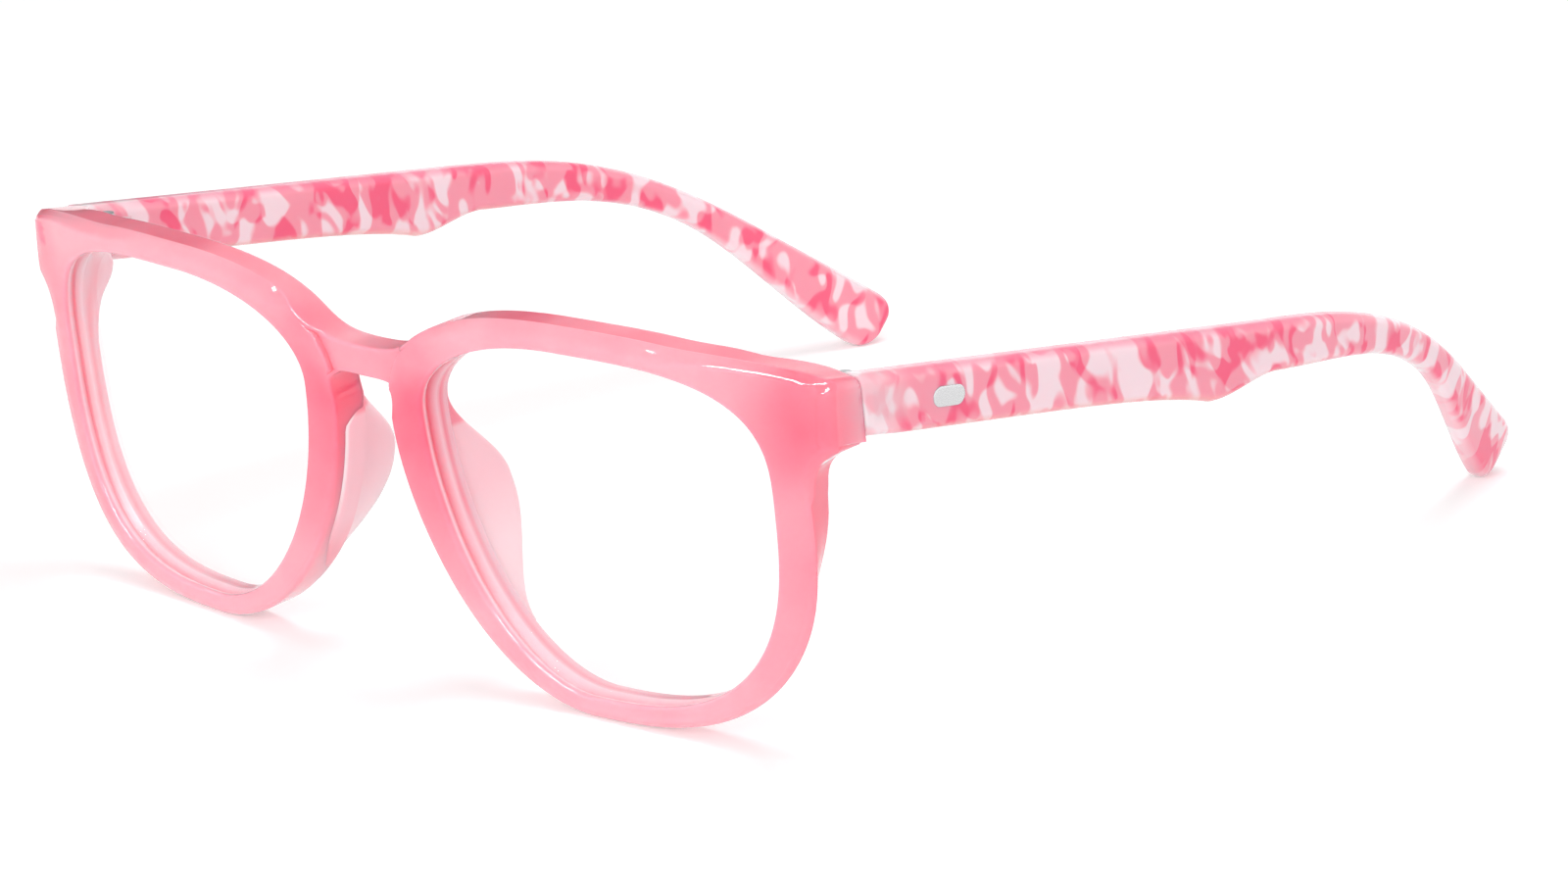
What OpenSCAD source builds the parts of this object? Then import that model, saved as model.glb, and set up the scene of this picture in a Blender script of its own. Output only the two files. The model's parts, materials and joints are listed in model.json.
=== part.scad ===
// Eyeglasses with a moulded plastic front, clear lenses and folding temples.
// They stand on a table on both rims and both temple tips, with the front facing -Y.
// Left and right are the wearer's: left is +X.
// Everything is laid out square to the front, as [across, depth, height], and then tipped to stand.

/* [Lenses] */
// Width of a lens opening
lens_w = 52.8; // [46:0.2:64]
// Height of a lens opening
lens_h = 43.4; // [34:0.1:52]
// Gap between the two lens openings
eye_gap = 20.9; // [17:0.1:25]
// Thickness of a lens
lens_t = 1.8; // [1.5:0.1:2.2]
// How far the middle of a lens bulges forward
lens_dome = 1.0; // [0:0.1:2]
// Gap between a lens and its groove
lens_clear = 0.08; // [0.05:0.01:0.2]

/* [Lens shape] */
// Sideways place of the opening's highest point, from its middle
top_shift = -2.9; // [-8:0.1:8]
// Sideways place of the opening's lowest point, from its middle
low_shift = -2.6; // [-8:0.1:8]
// Height of the opening's widest point on the nose side, from its middle
nose_rise = 10.8; // [0:0.1:14]
// Height of the opening's widest point on the temple side, from its middle
side_rise = 5.9; // [0:0.1:12]
// Squareness of the upper corner by the temple, 2 is round
square_top_side = 3.15; // [1.8:0.05:5]
// Squareness of the upper corner by the nose
square_top_nose = 2.05; // [1.8:0.05:5]
// Squareness of the lower corner by the nose
square_low_nose = 1.9; // [1.8:0.05:5]
// Squareness of the lower corner by the temple
square_low_side = 2.85; // [1.8:0.05:5]

/* [Front] */
// Rim width above the lens
rim_brow = 3.1; // [2:0.1:5]
// Rim width on the temple side
rim_side = 4.5; // [2.5:0.1:5.5]
// Rim width below the lens
rim_low = 2.6; // [2:0.1:4.5]
// Rim width beside the nose
rim_nose = 5.4; // [4:0.1:6.2]
// Depth of the rim, front to back
rim_d = 5; // [4.2:0.1:6]
// How far the front face bulges between its edges
rim_crown = 0.3; // [0:0.05:0.6]
// Radius of the front face's outer edge
rim_r = 0.9; // [0.4:0.1:1.2]
// Radius of the back's outer edge
back_r = 0.5; // [0.3:0.1:1]
// Radius of the edges round the lens opening
inner_r = 0.5; // [0.3:0.1:0.8]
// How far the rim's outer side tapers in towards the back
side_taper = 2.8; // [0:0.1:3]
// Depth of the lens groove
groove_d = 0.7; // [0.4:0.1:1]
// Place of the lens groove behind the front face
groove_at = 1.9; // [1.6:0.1:2.6]
// How far the front sweeps back at its ends
face_sag = 8.6; // [4:0.1:12]
// Share of that sweep that comes near the ends
end_share = 0.7; // [0:0.05:1]

/* [Bridge] */
// Height of the bridge
bridge_h = 3.9; // [3:0.1:6]
// Drop from the top of the lens opening to the top of the bridge
bridge_drop = 4.5; // [3:0.1:7]
// How far the bridge is set back behind the front of the rims
bridge_set = 0.8; // [0:0.1:1.5]

/* [End pieces] */
// Reach of the end piece past the lens opening
end_reach = 8; // [6.4:0.1:10]
// Height of the end piece
end_h = 8.3; // [7:0.1:10]
// Depth of the end piece at its outer side
end_d = 5.6; // [5:0.1:8]
// Drop from the top of the lens opening to the top of the end piece, at its front
end_drop = -0.5; // [-2:0.1:4]
// Radius of the end piece's top corner
end_r = 1.6; // [0.5:0.1:2]
// How far the brow bulges up on its way to the end piece
crest_bulge = 1.75; // [0:0.05:3]
// Share of the side's taper that is left just under the end piece
ledge_taper = 0.55; // [0:0.05:1]
// Height of the shoulder along the top of the end piece's back
shoulder = 1.1; // [0.5:0.1:1.4]

/* [Nose pads] */
// How far a nose pad stands out behind the rim
pad_d = 7.9; // [5:0.1:11]
// Thickness of a pad along its ridge
pad_t = 2.2; // [1.6:0.1:2.8]
// Margin between a pad and the rim's edges
pad_margin = 0.7; // [0.5:0.1:1.2]
// Bond line between a pad and the rim
pad_gap = 0.02; // [0.01:0.01:0.1]

/* [Temples] */
// Length of a temple along its top edge
temple_len = 148; // [120:0.5:180]
// Angle between a temple and the square of the front
temple_drop = 12.2; // [8:0.1:16]
// Angle by which a temple splays outwards
temple_splay = 1.5; // [0:0.1:4]
// Thickness at the hinge
temple_t = 3.8; // [3.4:0.1:5]
// Thickness at the tip
tip_t = 3.3; // [2.8:0.1:5]
// Radius of the temple's edges
temple_r = 1.3; // [0.6:0.1:1.6]
// Height at the hinge
temple_h = 7.6; // [6.8:0.1:9]
// Height at the underside step
step_h = 9.1; // [7:0.1:11]
// Place of the underside step
step_at = 61.5; // [40:0.5:70]
// How sharply the underside swells towards the step, 1 is evenly
step_swell = 7; // [1:0.5:8]
// Length of the step
step_run = 12.5; // [6:0.5:14]
// Height behind the step
neck_h = 6.4; // [4.5:0.1:7]
// Height of the thinnest stretch, at the ear
ear_h = 4.1; // [4:0.1:6]
// Place of the thinnest stretch
ear_at = 111; // [95:1:115]
// Height of the paddle tip
tip_h = 8.7; // [7:0.1:12]
// Slant of the tip's end, above 0 where its lower corner reaches further
tip_slant = -7; // [-25:0.5:25]
// How far the tip's end rises towards the upper corner, 0 is in the middle
tip_rise = 0.2; // [0:0.05:0.8]
// Angle of the ear bend
ear_bend = 28.2; // [15:0.1:40]
// Where the ear bend starts
bend_from = 72; // [70:1:90]
// Where the ear bend ends
bend_to = 127; // [110:0.5:135]
// Curve of the tip towards the head
tip_in = 0.0029; // [0:0.0001:0.004]
// Where that curve starts
curl_from = 66.5; // [50:0.5:80]
// Length of that curve
curl_run = 56; // [40:1:80]

/* [Hinges] */
// Radius of a hinge knuckle
knuckle_r = 1.2; // [1:0.05:1.4]
// Height of a hinge knuckle
knuckle_h = 1.5; // [1.2:0.1:1.8]
// Radius of the hinge screw
screw_r = 0.7; // [0.5:0.05:0.8]
// Running clearance round the screw
screw_clear = 0.03; // [0.02:0.01:0.08]
// Radius of the screw's head
head_r = 1.05; // [0.9:0.05:1.2]
// Height of the screw's head
head_h = 0.5; // [0.4:0.05:0.8]
// Width of the screw's slot
slot_w = 0.3; // [0.2:0.05:0.4]
// Depth of the screw's slot
slot_d = 0.25; // [0.15:0.05:0.4]
// Running gap between knuckles, and between temple and end piece
hinge_gap = 0.06; // [0.04:0.01:0.15]
// Gap between a knuckle and the temple beside it
knuckle_gap = 0.3; // [0.1:0.05:0.8]
// Gap between a knuckle and the end piece in front of it
knuckle_back = 1.4; // [0.1:0.1:2]
// Thickness of a hinge plate
plate_t = 0.9; // [0.6:0.1:1.2]
// Length of the plate in the temple
leaf_len = 6; // [5:0.5:8]
// Place of that plate behind the temple's end
leaf_at = 1.6; // [1:0.1:2.5]
// Height of the plate in the temple
leaf_h = 3.8; // [3:0.1:4.4]
// Clearance of a plate or an inlay in its pocket
pocket_clear = 0.03; // [0.02:0.01:0.1]

/* [Inlays] */
// Length of the temple inlay
inlay_len = 5.4; // [4:0.1:8]
// Height of the temple inlay
inlay_h = 2.6; // [2:0.1:3.2]
// Thickness of the temple inlay
inlay_t = 0.8; // [0.5:0.1:1.2]
// How far the inlay stands out of the temple
inlay_proud = 0.1; // [0:0.05:0.3]
// Place of the inlay's middle behind the hinge
inlay_at = 14; // [12:0.5:20]

/* [Hidden] */
$fn = 48;

jelly_pink = [1.0, 0.55, 0.64];
pale_pink = [1.0, 0.80, 0.84];
pattern_pink = [0.98, 0.66, 0.74];
clear_lens = [0.95, 0.97, 1.0, 0.3];
steel = [0.78, 0.78, 0.80];

// General curves

function mix(a, b, k) = a + (b - a) * k;
function clamp(k) = min(1, max(0, k));
function ease(k) = clamp(k) * clamp(k) * (3 - 2 * clamp(k));
function bezier3(a, b, c, k) = mix(mix(a, b, k), mix(b, c, k), k);
function bezier4(a, b, c, d, k) = mix(bezier3(a, b, c, k), bezier3(b, c, d, k), k);
function unit(v) = v / norm(v);
function outward(v) = unit([v.y, -v.x]);

// Lens opening: four superellipse quarters that meet with level and upright tangents.
// The angle runs from the temple side (0) over the top (90) and the nose side (180).

lens_mid = [eye_gap / 2 + lens_w / 2, rim_low + lens_h / 2];
corner_power = [square_top_side, square_top_nose, square_low_nose, square_low_side];

function quarter(t) = floor(((t % 360) + 360) % 360 / 90);
function opening(t) =
    let (q = quarter(t),
        shift = q < 2 ? top_shift : low_shift,
        rise = (q == 1 || q == 2) ? nose_rise : side_rise,
        flip_u = (q == 1 || q == 2) ? -1 : 1,
        flip_v = q < 2 ? 1 : -1,
        a = lens_w / 2 - flip_u * shift,
        b = lens_h / 2 - flip_v * rise,
        e = 2 / corner_power[q])
    lens_mid + [shift + flip_u * a * pow(abs(cos(t)), e), rise + flip_v * b * pow(abs(sin(t)), e)];
function opening_normal(t) = outward(opening(t + 0.05) - opening(t - 0.05));

// Outline of one half of the front, from the rim's width and the end piece and bridge

half_w = eye_gap / 2 + lens_w + end_reach;
open_top = rim_low + lens_h;
end_top = open_top - end_drop;
end_low = end_top - end_h;
bridge_top = open_top - bridge_drop;
bridge_low = bridge_top - bridge_h;

function rim_width(t) =
    let (across = sin(t) > 0 ? rim_brow : rim_low,
        beside = cos(t) > 0 ? rim_side : rim_nose)
    mix(beside, across, sin(t) * sin(t));
function rim_outer(t) = opening(t) + opening_normal(t) * rim_width(t);

flare_t = 1.9;
brow_t = 70;
notch_t = 150;
bridge_t = [152, 159];
keyhole_t = 183;
pad_t_span = [172, 236];
taper_t = [345, 362];

flare_power = 1.6;
flare_steps = 6;
corner_steps = 3;
crest_steps = 4;
brow_steps = 18;
notch_steps = 6;
middle_steps = 3;
keyhole_steps = 7;
nose_steps = 16;
low_steps = 26;
end_steps = flare_steps + corner_steps + crest_steps;

ledge_lip = 0.3;
flare_from = rim_outer(flare_t);
flare_to = [half_w, end_low + ledge_lip];
corner_mid = [half_w - end_r, end_top - end_r];
crest_from = [half_w - end_r, end_top];
crest_to = rim_outer(brow_t);
crest_way = unit(rim_outer(brow_t + 0.5) - rim_outer(brow_t - 0.5));
crest_arms = [4.7, 7.2];
notch_from = rim_outer(notch_t);
keyhole_to = rim_outer(keyhole_t);

flare_lead = [0.3, 5.3];
flare_high = 1.8;
notch_lead = [-3.4, -2.3];
notch_flat = 5.6;
keyhole_flat = 5.4;
keyhole_lead = [1.1, 4.4];
set_run = 0.35;

function flare(k) = bezier4(flare_from, flare_from + flare_lead, flare_to - [0, flare_high], flare_to, k);
function corner(k) = corner_mid + end_r * [cos(90 * k), sin(90 * k)];
function crest(k) =
    bezier4(crest_from, crest_from + [-crest_arms[0], crest_bulge], crest_to - crest_way * crest_arms[1],
        crest_to, k);
function notch(k) =
    bezier4(notch_from, notch_from + notch_lead, [notch_flat, bridge_top], [0, bridge_top], k);
function keyhole(k) =
    bezier4([0, bridge_low], [keyhole_flat, bridge_low], keyhole_to + keyhole_lead, keyhole_to, k);

// Stations round one rim: [lens angle, outline point, join, share of the side's taper, share of the
// bridge's set-back], where join is 0 on the outline, 1 at the bridge's top, 2 on the middle plane
// and 3 at the bridge's underside
function end_t(i) = mix(flare_t, brow_t, i / (end_steps + 1));
function flare_k(i) = 1 - pow(1 - i / flare_steps, flare_power);
function flare_taper(i) = i == flare_steps ? 0 : ledge_taper;
function side_share(t) =
    max(0, cos(t)) * mix(1, ledge_taper, ease((t - taper_t[0]) / (taper_t[1] - taper_t[0])));
ring = concat(
    [for (i = [0 : flare_steps]) [end_t(i), flare(flare_k(i)), 0, flare_taper(i), 0]],
    [for (i = [0 : corner_steps]) [end_t(flare_steps + 1 + i), corner(i / corner_steps), 0, 0, 0]],
    [for (i = [1 : crest_steps])
        [end_t(flare_steps + 1 + corner_steps + i), crest(i / crest_steps), 0, 0, 0]],
    [for (i = [1 : brow_steps]) let (t = mix(brow_t, notch_t, i / brow_steps))
        [t, rim_outer(t), 0, 0, 0]],
    [for (i = [1 : notch_steps]) let (k = i / notch_steps)
        [mix(notch_t, bridge_t[0], k), notch(k), k < 1 ? 0 : 1, 0, ease(k / set_run)]],
    [for (i = [1 : middle_steps - 1]) let (k = i / middle_steps)
        [mix(bridge_t[0], bridge_t[1], k), [0, mix(bridge_top, bridge_low, k)], 2, 0, 1]],
    [for (i = [0 : keyhole_steps]) let (k = i / keyhole_steps)
        [mix(bridge_t[1], keyhole_t, k), keyhole(k), k > 0 ? 0 : 3, 0, ease((1 - k) / set_run)]],
    [for (i = [1 : nose_steps]) let (t = mix(keyhole_t, pad_t_span[1], i / nose_steps))
        [t, rim_outer(t), 0, 0, 0]],
    [for (i = [1 : low_steps - 1]) let (t = mix(pad_t_span[1], 360 + flare_t, i / low_steps))
        [t, rim_outer(t), 0, side_share(t), 0]]);
ring_n = len(ring);

function ring_normal(i) =
    ring[i][2] == 1 ? [0, 1] :
    ring[i][2] == 3 ? [0, -1] :
    ring[i][2] == 2 ? [-1, 0] :
    outward(ring[(i + 1) % ring_n][1] - ring[(i + ring_n - 1) % ring_n][1]);

// Depth of the front: it sweeps back towards its ends, and the end piece has a flat back

function sag(u) =
    let (k = u / half_w)
    face_sag * ((1 - end_share) * k * k + end_share * k * k * k * k);
joint_y = sag(half_w) + end_d;
open_side = eye_gap / 2 + lens_w;
block_from = [-5.7, 0.6, 1.3];
block_run = [5.4, 3, 2];
block_low = [10, 0.1];
block_low_run = [13.5, 0.35];

// Share of the end piece's full depth at a point: it grows from the lens corner outwards,
// has a soft underside near the lens, a crisp ledge outside and a shoulder along the top
function block(p) =
    let (grown = [for (j = [0 : 2]) ease((p.x - open_side - block_from[j]) / block_run[j])],
        low = end_low - mix(block_low[0], block_low[1], grown[1]),
        low_run = mix(block_low_run[0], block_low_run[1], grown[1]),
        top = ease((p.y - end_top + shoulder) / shoulder))
    grown[0] * ease((p.y - low) / low_run) * (1 - top * (1 - grown[2]));
function back_depth(p) = mix(rim_d, joint_y - sag(p.x), block(p));

// The end piece's top and underside run back in line with the temple
temple_fall = tan(temple_drop);
lean_from = 0.3;
lean_run = [3, 5];
function lean(p) =
    ease((p.x - open_side - lean_from) / lean_run[0]) * ease((p.y - end_low) / lean_run[1] + 1);
function place(p, w) = [p.x, sag(p.x) + w, p.y - lean(p) * w * temple_fall];
joint_top = end_top - end_d * temple_fall;
joint_low = joint_top - end_h;

half_turn = 1 - sqrt(0.5);
face_edge = 0.8;
face_step = 0.1;
step_w = 0.3;
edge_crown = 0.6;
step_crown = 0.3;
least_edge = 0.2;
back_shares = [0.55, 0.3, 0.15];
groove_half = lens_t / 2 + lens_clear;

// Section of the rim at one station, from the front edge of the outline round the back to the lens
function section(i) =
    let (inner = opening(ring[i][0]),
        inner_n = opening_normal(ring[i][0]),
        outer = ring[i][1],
        outer_n = ring_normal(i),
        on_middle = ring[i][2] == 2,
        fr = on_middle ? 0 : rim_r,
        br = on_middle ? 0 : back_r,
        rear = outer - outer_n * side_taper * ring[i][3],
        outer_back = rear - outer_n * br,
        inner_back = inner + inner_n * inner_r,
        deep = back_depth(outer_back),
        inner_deep = back_depth(inner_back),
        front_a = outer - outer_n * fr,
        front_b = inner + inner_n * inner_r,
        set = bridge_set * ring[i][4],
        run = norm(front_a - front_b),
        edge = mix(face_edge, min(face_edge, (rim_width(ring[i][0]) - rim_r) / run), ring[i][4]),
        step = edge + mix(face_step, min(face_step, step_w / run), ring[i][4]))
    concat(
        [place(front_a, set),
            place(outer - outer_n * fr * half_turn, set + fr * half_turn),
            place(outer, set + max(fr, least_edge)),
            place(rear, deep - max(br, least_edge)),
            place(rear - outer_n * br * half_turn, deep - br * half_turn),
            place(outer_back, deep)],
        [for (k = back_shares) let (p = mix(inner_back, outer_back, k))
            place(p, back_depth(p))],
        [place(inner_back, inner_deep),
            place(inner, inner_deep - inner_r),
            place(inner, groove_at + groove_half),
            place(inner + inner_n * groove_d, groove_at),
            place(inner, groove_at - groove_half),
            place(inner, inner_r),
            place(inner + inner_n * inner_r * half_turn, inner_r * half_turn),
            place(front_b, 0),
            place(mix(front_b, front_a, edge / face_edge / 2), -rim_crown),
            place(mix(front_b, front_a, edge), -edge_crown * rim_crown),
            place(mix(front_b, front_a, step), set - step_crown * rim_crown * (1 - ring[i][4]))]);
section_n = 20;
outer_wall = 5;

half_points = [for (i = [0 : ring_n - 1]) each section(i)];
function at(i, j) = (i % ring_n) * section_n + j % section_n;
function on_join(i) = ring[i][2] > 0 && ring[(i + 1) % ring_n][2] > 0;
half_faces = [for (i = [0 : ring_n - 1]) for (j = [0 : section_n - 1])
    if (j >= outer_wall || !on_join(i))
        each [[at(i, j), at(i + 1, j), at(i + 1, j + 1)], [at(i, j), at(i + 1, j + 1), at(i, j + 1)]]];
function mirrored(points) = [for (p = points) [-p.x, p.y, p.z]];
function reversed(faces, from) = [for (f = faces) [f[2] + from, f[1] + from, f[0] + from]];

// Temple: a rounded bar swept along its top edge

bar_steps = 56;
cap_len = 4.2;
cap_steps = 6;
cap_turn = 88;
cap_power = 3;
cap_edge = 0.3;
corner_points = 4;
full_round = 0.488;
root_turn = 12;
tip_run = 25;

bar_s = concat(
    [for (i = [0 : bar_steps]) (temple_len - cap_len) * i / bar_steps],
    [for (i = [1 : cap_steps]) temple_len - cap_len + cap_len * sin(cap_turn * i / cap_steps)]);
bar_n = len(bar_s);

function bar_angle(s) = temple_drop + ear_bend * ease((s - bend_from) / (bend_to - bend_from));
function bar_h(s) =
    s < step_at ? mix(temple_h, step_h, pow(s / step_at, step_swell)) :
    s < step_at + step_run ? mix(step_h, neck_h, ease((s - step_at) / step_run)) :
    s < ear_at ? mix(neck_h, ear_h, ease((s - step_at - step_run) / (ear_at - step_at - step_run))) :
    mix(ear_h, tip_h, ease((s - ear_at) / (temple_len - ear_at)));
function bar_t(s) = mix(temple_t, tip_t, s / temple_len);
function curl(s) =
    let (bent = min(max(0, s - curl_from), curl_run),
        straight = max(0, s - curl_from - curl_run))
    tip_in * bent * (bent + 2 * straight);
function bar_x(s) = half_w + tan(temple_splay) * s - curl(s);
function cap_scale(s) =
    pow(1 - pow(clamp((s - temple_len + cap_len) / cap_len), cap_power), 1 / cap_power);

bar_top = joint_top;
bar_path = [for (i = 0, p = [joint_y + hinge_gap, bar_top]; i < bar_n;
    p = p + (i + 1 < bar_n ? bar_move(bar_s[i], bar_s[i + 1]) : [0, 0]), i = i + 1) p];
function bar_move(a, b) =
    let (turn = bar_angle((a + b) / 2))
    (b - a) * [cos(turn), -sin(turn)];

// Rounded rectangle w by h about its middle, as points
function rounded(w, h) =
    let (r = min(temple_r, w * full_round, h * full_round))
    [for (q = [0 : 3]) for (k = [0 : corner_points - 1])
        let (turn = 90 * (q + k / (corner_points - 1)),
            su = (q == 0 || q == 3) ? 1 : -1,
            sv = q < 2 ? 1 : -1)
        [su * (w / 2 - r) + r * cos(turn), sv * (h / 2 - r) + r * sin(turn)]];
bar_section_n = 4 * corner_points;

function bar_section(i) =
    let (s = bar_s[i],
        h = bar_h(s),
        shrink = cap_scale(s),
        lean = bar_angle(s) * ease(s / root_turn) - tip_slant * ease((s - temple_len + tip_run) / tip_run),
        shape = rounded(bar_t(s) * mix(cap_edge, 1, shrink), h * shrink),
        x = bar_x(s) - bar_t(s) / 2)
    [for (q = shape) let (up = q.y - h / 2 * (1 - tip_rise * (1 - shrink)))
        [x + q.x, bar_path[i].x + up * sin(lean), bar_path[i].y + up * cos(lean)]];
bar_points = [for (i = [0 : bar_n - 1]) each bar_section(i)];
bar_faces = concat(
    [[for (j = [bar_section_n - 1 : -1 : 0]) j]],
    [for (i = [0 : bar_n - 2]) for (j = [0 : bar_section_n - 1])
        let (a = i * bar_section_n + j,
            b = i * bar_section_n + (j + 1) % bar_section_n)
        each [[a, b, b + bar_section_n], [a, b + bar_section_n, a + bar_section_n]]],
    [[for (j = [0 : bar_section_n - 1]) (bar_n - 1) * bar_section_n + j]]);

// Tilt at which both rims and both tips touch the table, found by halving
function low_at(points, tilt) = min([for (p = points) p.y * sin(tilt) + p.z * cos(tilt)]);
function stand_tilt(a, b, n) =
    let (m = (a + b) / 2)
    n == 0 ? m :
    low_at(bar_points, m) < low_at(half_points, m) ? stand_tilt(m, b, n - 1) : stand_tilt(a, m, n - 1);
tilt_range = [-5, 25];
tilt_halvings = 26;
tilt = stand_tilt(tilt_range[0], tilt_range[1], tilt_halvings);
stand_z = -min(low_at(half_points, tilt), low_at(bar_points, tilt));
stand_ys = [for (p = concat(half_points, bar_points)) p.y * cos(tilt) - p.z * sin(tilt)];
stand_y = -(min(stand_ys) + max(stand_ys)) / 2;

module stand() {
    translate([0, stand_y, stand_z])
        rotate([tilt, 0, 0])
            children();
}

module on_side(side) {
    mirror([side < 0 ? 1 : 0, 0, 0])
        children();
}

// Hinge places

inner_x = half_w - temple_t;
axis_x = inner_x - knuckle_r - knuckle_gap;
axis_y = joint_y + knuckle_r + knuckle_back;
axis_z = (joint_top + joint_low) / 2;
front_plate_h = 3 * knuckle_h + 2 * hinge_gap;
front_plate_margin = [2.2, 1.6];
front_plate_x = [axis_x - front_plate_margin[0], half_w - front_plate_margin[1]];
pocket_open = 20;

module front_plate(grow) {
    translate([front_plate_x[0] - grow, joint_y - plate_t - grow, axis_z - front_plate_h / 2 - grow])
        cube([front_plate_x[1] - front_plate_x[0] + 2 * grow, plate_t + grow * pocket_open,
            front_plate_h + 2 * grow]);
}

// Frame of the temple's inner face at the hinge, with x into the temple and y along it
module leaf_frame() {
    translate([inner_x, joint_y + hinge_gap, axis_z])
        rotate([-temple_drop, 0, 0])
            rotate([0, 0, -temple_splay])
                children();
}

module leaf_plate(grow) {
    leaf_frame()
        translate([-grow * pocket_open, leaf_at - grow, -leaf_h / 2 - grow])
            cube([plate_t + grow * (pocket_open + 1), leaf_len + 2 * grow, leaf_h + 2 * grow]);
}

// Frame of the temple's outer face at the inlay, with x out of the temple
module inlay_frame() {
    translate([half_w, joint_y + hinge_gap, bar_top - temple_h / 2])
        rotate([-temple_drop, 0, 0])
            rotate([0, 0, -temple_splay])
                translate([0, inlay_at, 0])
                    children();
}

module inlay_bar(grow, from, to) {
    inlay_frame()
        translate([from, 0, 0])
            rotate([0, 90, 0]) {
                for (end = [-1, 1])
                    translate([0, end * (inlay_len - inlay_h) / 2, 0])
                        cylinder(r = inlay_h / 2 + grow, h = to - from);
                translate([-inlay_h / 2 - grow, -(inlay_len - inlay_h) / 2, 0])
                    cube([inlay_h + 2 * grow, inlay_len - inlay_h, to - from]);
            }
}

// Sub-parts

module front_frame() {
    color(jelly_pink)
        stand()
            difference() {
                polyhedron(
                    points = concat(half_points, mirrored(half_points)),
                    faces = concat(half_faces, reversed(half_faces, len(half_points))));
                for (side = [-1, 1])
                    on_side(side) front_plate(pocket_clear);
            }
}

// Lens: its edge is a bevel that sits in the rim's groove
lens_rings = [1, 0.55];
lens_edge_n = 3;
lens_layer_n = lens_edge_n + 2 * (len(lens_rings) - 1);
function lens_edge(i, grow, w) =
    let (t = ring[i][0])
    place(opening(t) + opening_normal(t) * grow, w);
function lens_inside(i, k, w) =
    let (p = mix(lens_mid, opening(ring[i][0]), k))
    place(p, w - lens_dome * (1 - k * k));
bevel_clear = 1.5 * lens_clear;
lens_front = groove_at - lens_t / 2;
lens_back = groove_at + lens_t / 2;
lens_points = concat(
    [for (i = [0 : ring_n - 1]) lens_inside(i, lens_rings[1], lens_front)],
    [for (i = [0 : ring_n - 1]) lens_edge(i, -lens_clear, lens_front)],
    [for (i = [0 : ring_n - 1]) lens_edge(i, groove_d - bevel_clear, groove_at)],
    [for (i = [0 : ring_n - 1]) lens_edge(i, -lens_clear, lens_back)],
    [for (i = [0 : ring_n - 1]) lens_inside(i, lens_rings[1], lens_back)],
    [place(lens_mid, lens_front - lens_dome), place(lens_mid, lens_back - lens_dome)]);
lens_faces = concat(
    [for (layer = [0 : lens_layer_n - 2]) for (i = [0 : ring_n - 1])
        let (a = layer * ring_n + i,
            b = layer * ring_n + (i + 1) % ring_n)
        each [[a, b, b + ring_n], [a, b + ring_n, a + ring_n]]],
    [for (i = [0 : ring_n - 1]) [lens_layer_n * ring_n, (i + 1) % ring_n, i]],
    [for (i = [0 : ring_n - 1]) let (from = (lens_layer_n - 1) * ring_n)
        [lens_layer_n * ring_n + 1, from + i, from + (i + 1) % ring_n]]);

module lens(side) {
    color(clear_lens)
        stand()
            on_side(side)
                polyhedron(points = lens_points, faces = lens_faces);
}

// Nose pad: a rounded fin bonded to the back of the rim beside the nose
pad_rise_t = 179;
pad_peak = [201.5, 204];
pad_end = 0.5;
pad_ridge = 0.7;
pad_stations = [for (i = [0 : ring_n - 1])
    if (ring[i][0] > pad_t_span[0] && ring[i][0] < pad_t_span[1] && ring[i][2] == 0) i];
pad_n = len(pad_stations);
function pad_height(t) =
    pad_end + (pad_d - pad_end) * ease((t - pad_rise_t) / (pad_peak[0] - pad_rise_t))
        * ease((pad_t_span[1] - t) / (pad_t_span[1] - pad_peak[1]));
function pad_section(n) =
    let (i = pad_stations[n],
        inner = opening(ring[i][0]),
        a = ring[i][1] - ring_normal(i) * pad_margin,
        b = inner + opening_normal(ring[i][0]) * pad_margin,
        h = pad_height(ring[i][0]),
        run = norm(b - a),
        ridge = min(pad_t, pad_ridge * run) / run)
    [for (q = [[0, 0], [0.25 * (1 - ridge), 0.5], [0.8 * (1 - ridge), 0.88], [1 - 0.6 * ridge, 1],
            [1 - 0.2 * ridge, 0.97], [1, 0.85], [1, 0.4], [1, 0]])
        place(mix(a, b, q.x), rim_d + pad_gap + h * q.y)];
pad_section_n = 8;
pad_points = [for (n = [0 : pad_n - 1]) each pad_section(n)];
pad_faces = concat(
    [for (j = [1 : pad_section_n - 2]) [0, j, j + 1]],
    [for (n = [0 : pad_n - 2]) for (j = [0 : pad_section_n - 1])
        let (a = n * pad_section_n + j,
            b = n * pad_section_n + (j + 1) % pad_section_n)
        each [[a, a + pad_section_n, b + pad_section_n], [a, b + pad_section_n, b]]],
    [for (j = [1 : pad_section_n - 2]) let (from = (pad_n - 1) * pad_section_n)
        [from, from + j + 1, from + j]]);

module nose_pad(side) {
    color(pale_pink)
        stand()
            on_side(side)
                polyhedron(points = pad_points, faces = pad_faces);
}

module knuckle(z) {
    translate([axis_x, axis_y, z - knuckle_h / 2])
        cylinder(r = knuckle_r, h = knuckle_h);
}

module screw_hole() {
    translate([axis_x, axis_y, axis_z - 2 * knuckle_h])
        cylinder(r = screw_r + screw_clear, h = 4 * knuckle_h);
}

knuckle_step = knuckle_h + hinge_gap;

module hinge_front(side) {
    color(steel)
        stand()
            on_side(side)
                difference() {
                    union() {
                        front_plate(0);
                        for (end = [-1, 1]) {
                            knuckle(axis_z + end * knuckle_step);
                            translate([axis_x - knuckle_r, joint_y - plate_t / 2,
                                axis_z + end * knuckle_step - knuckle_h / 2])
                                cube([2 * knuckle_r, axis_y - joint_y + plate_t / 2, knuckle_h]);
                        }
                    }
                    screw_hole();
                }
}

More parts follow.
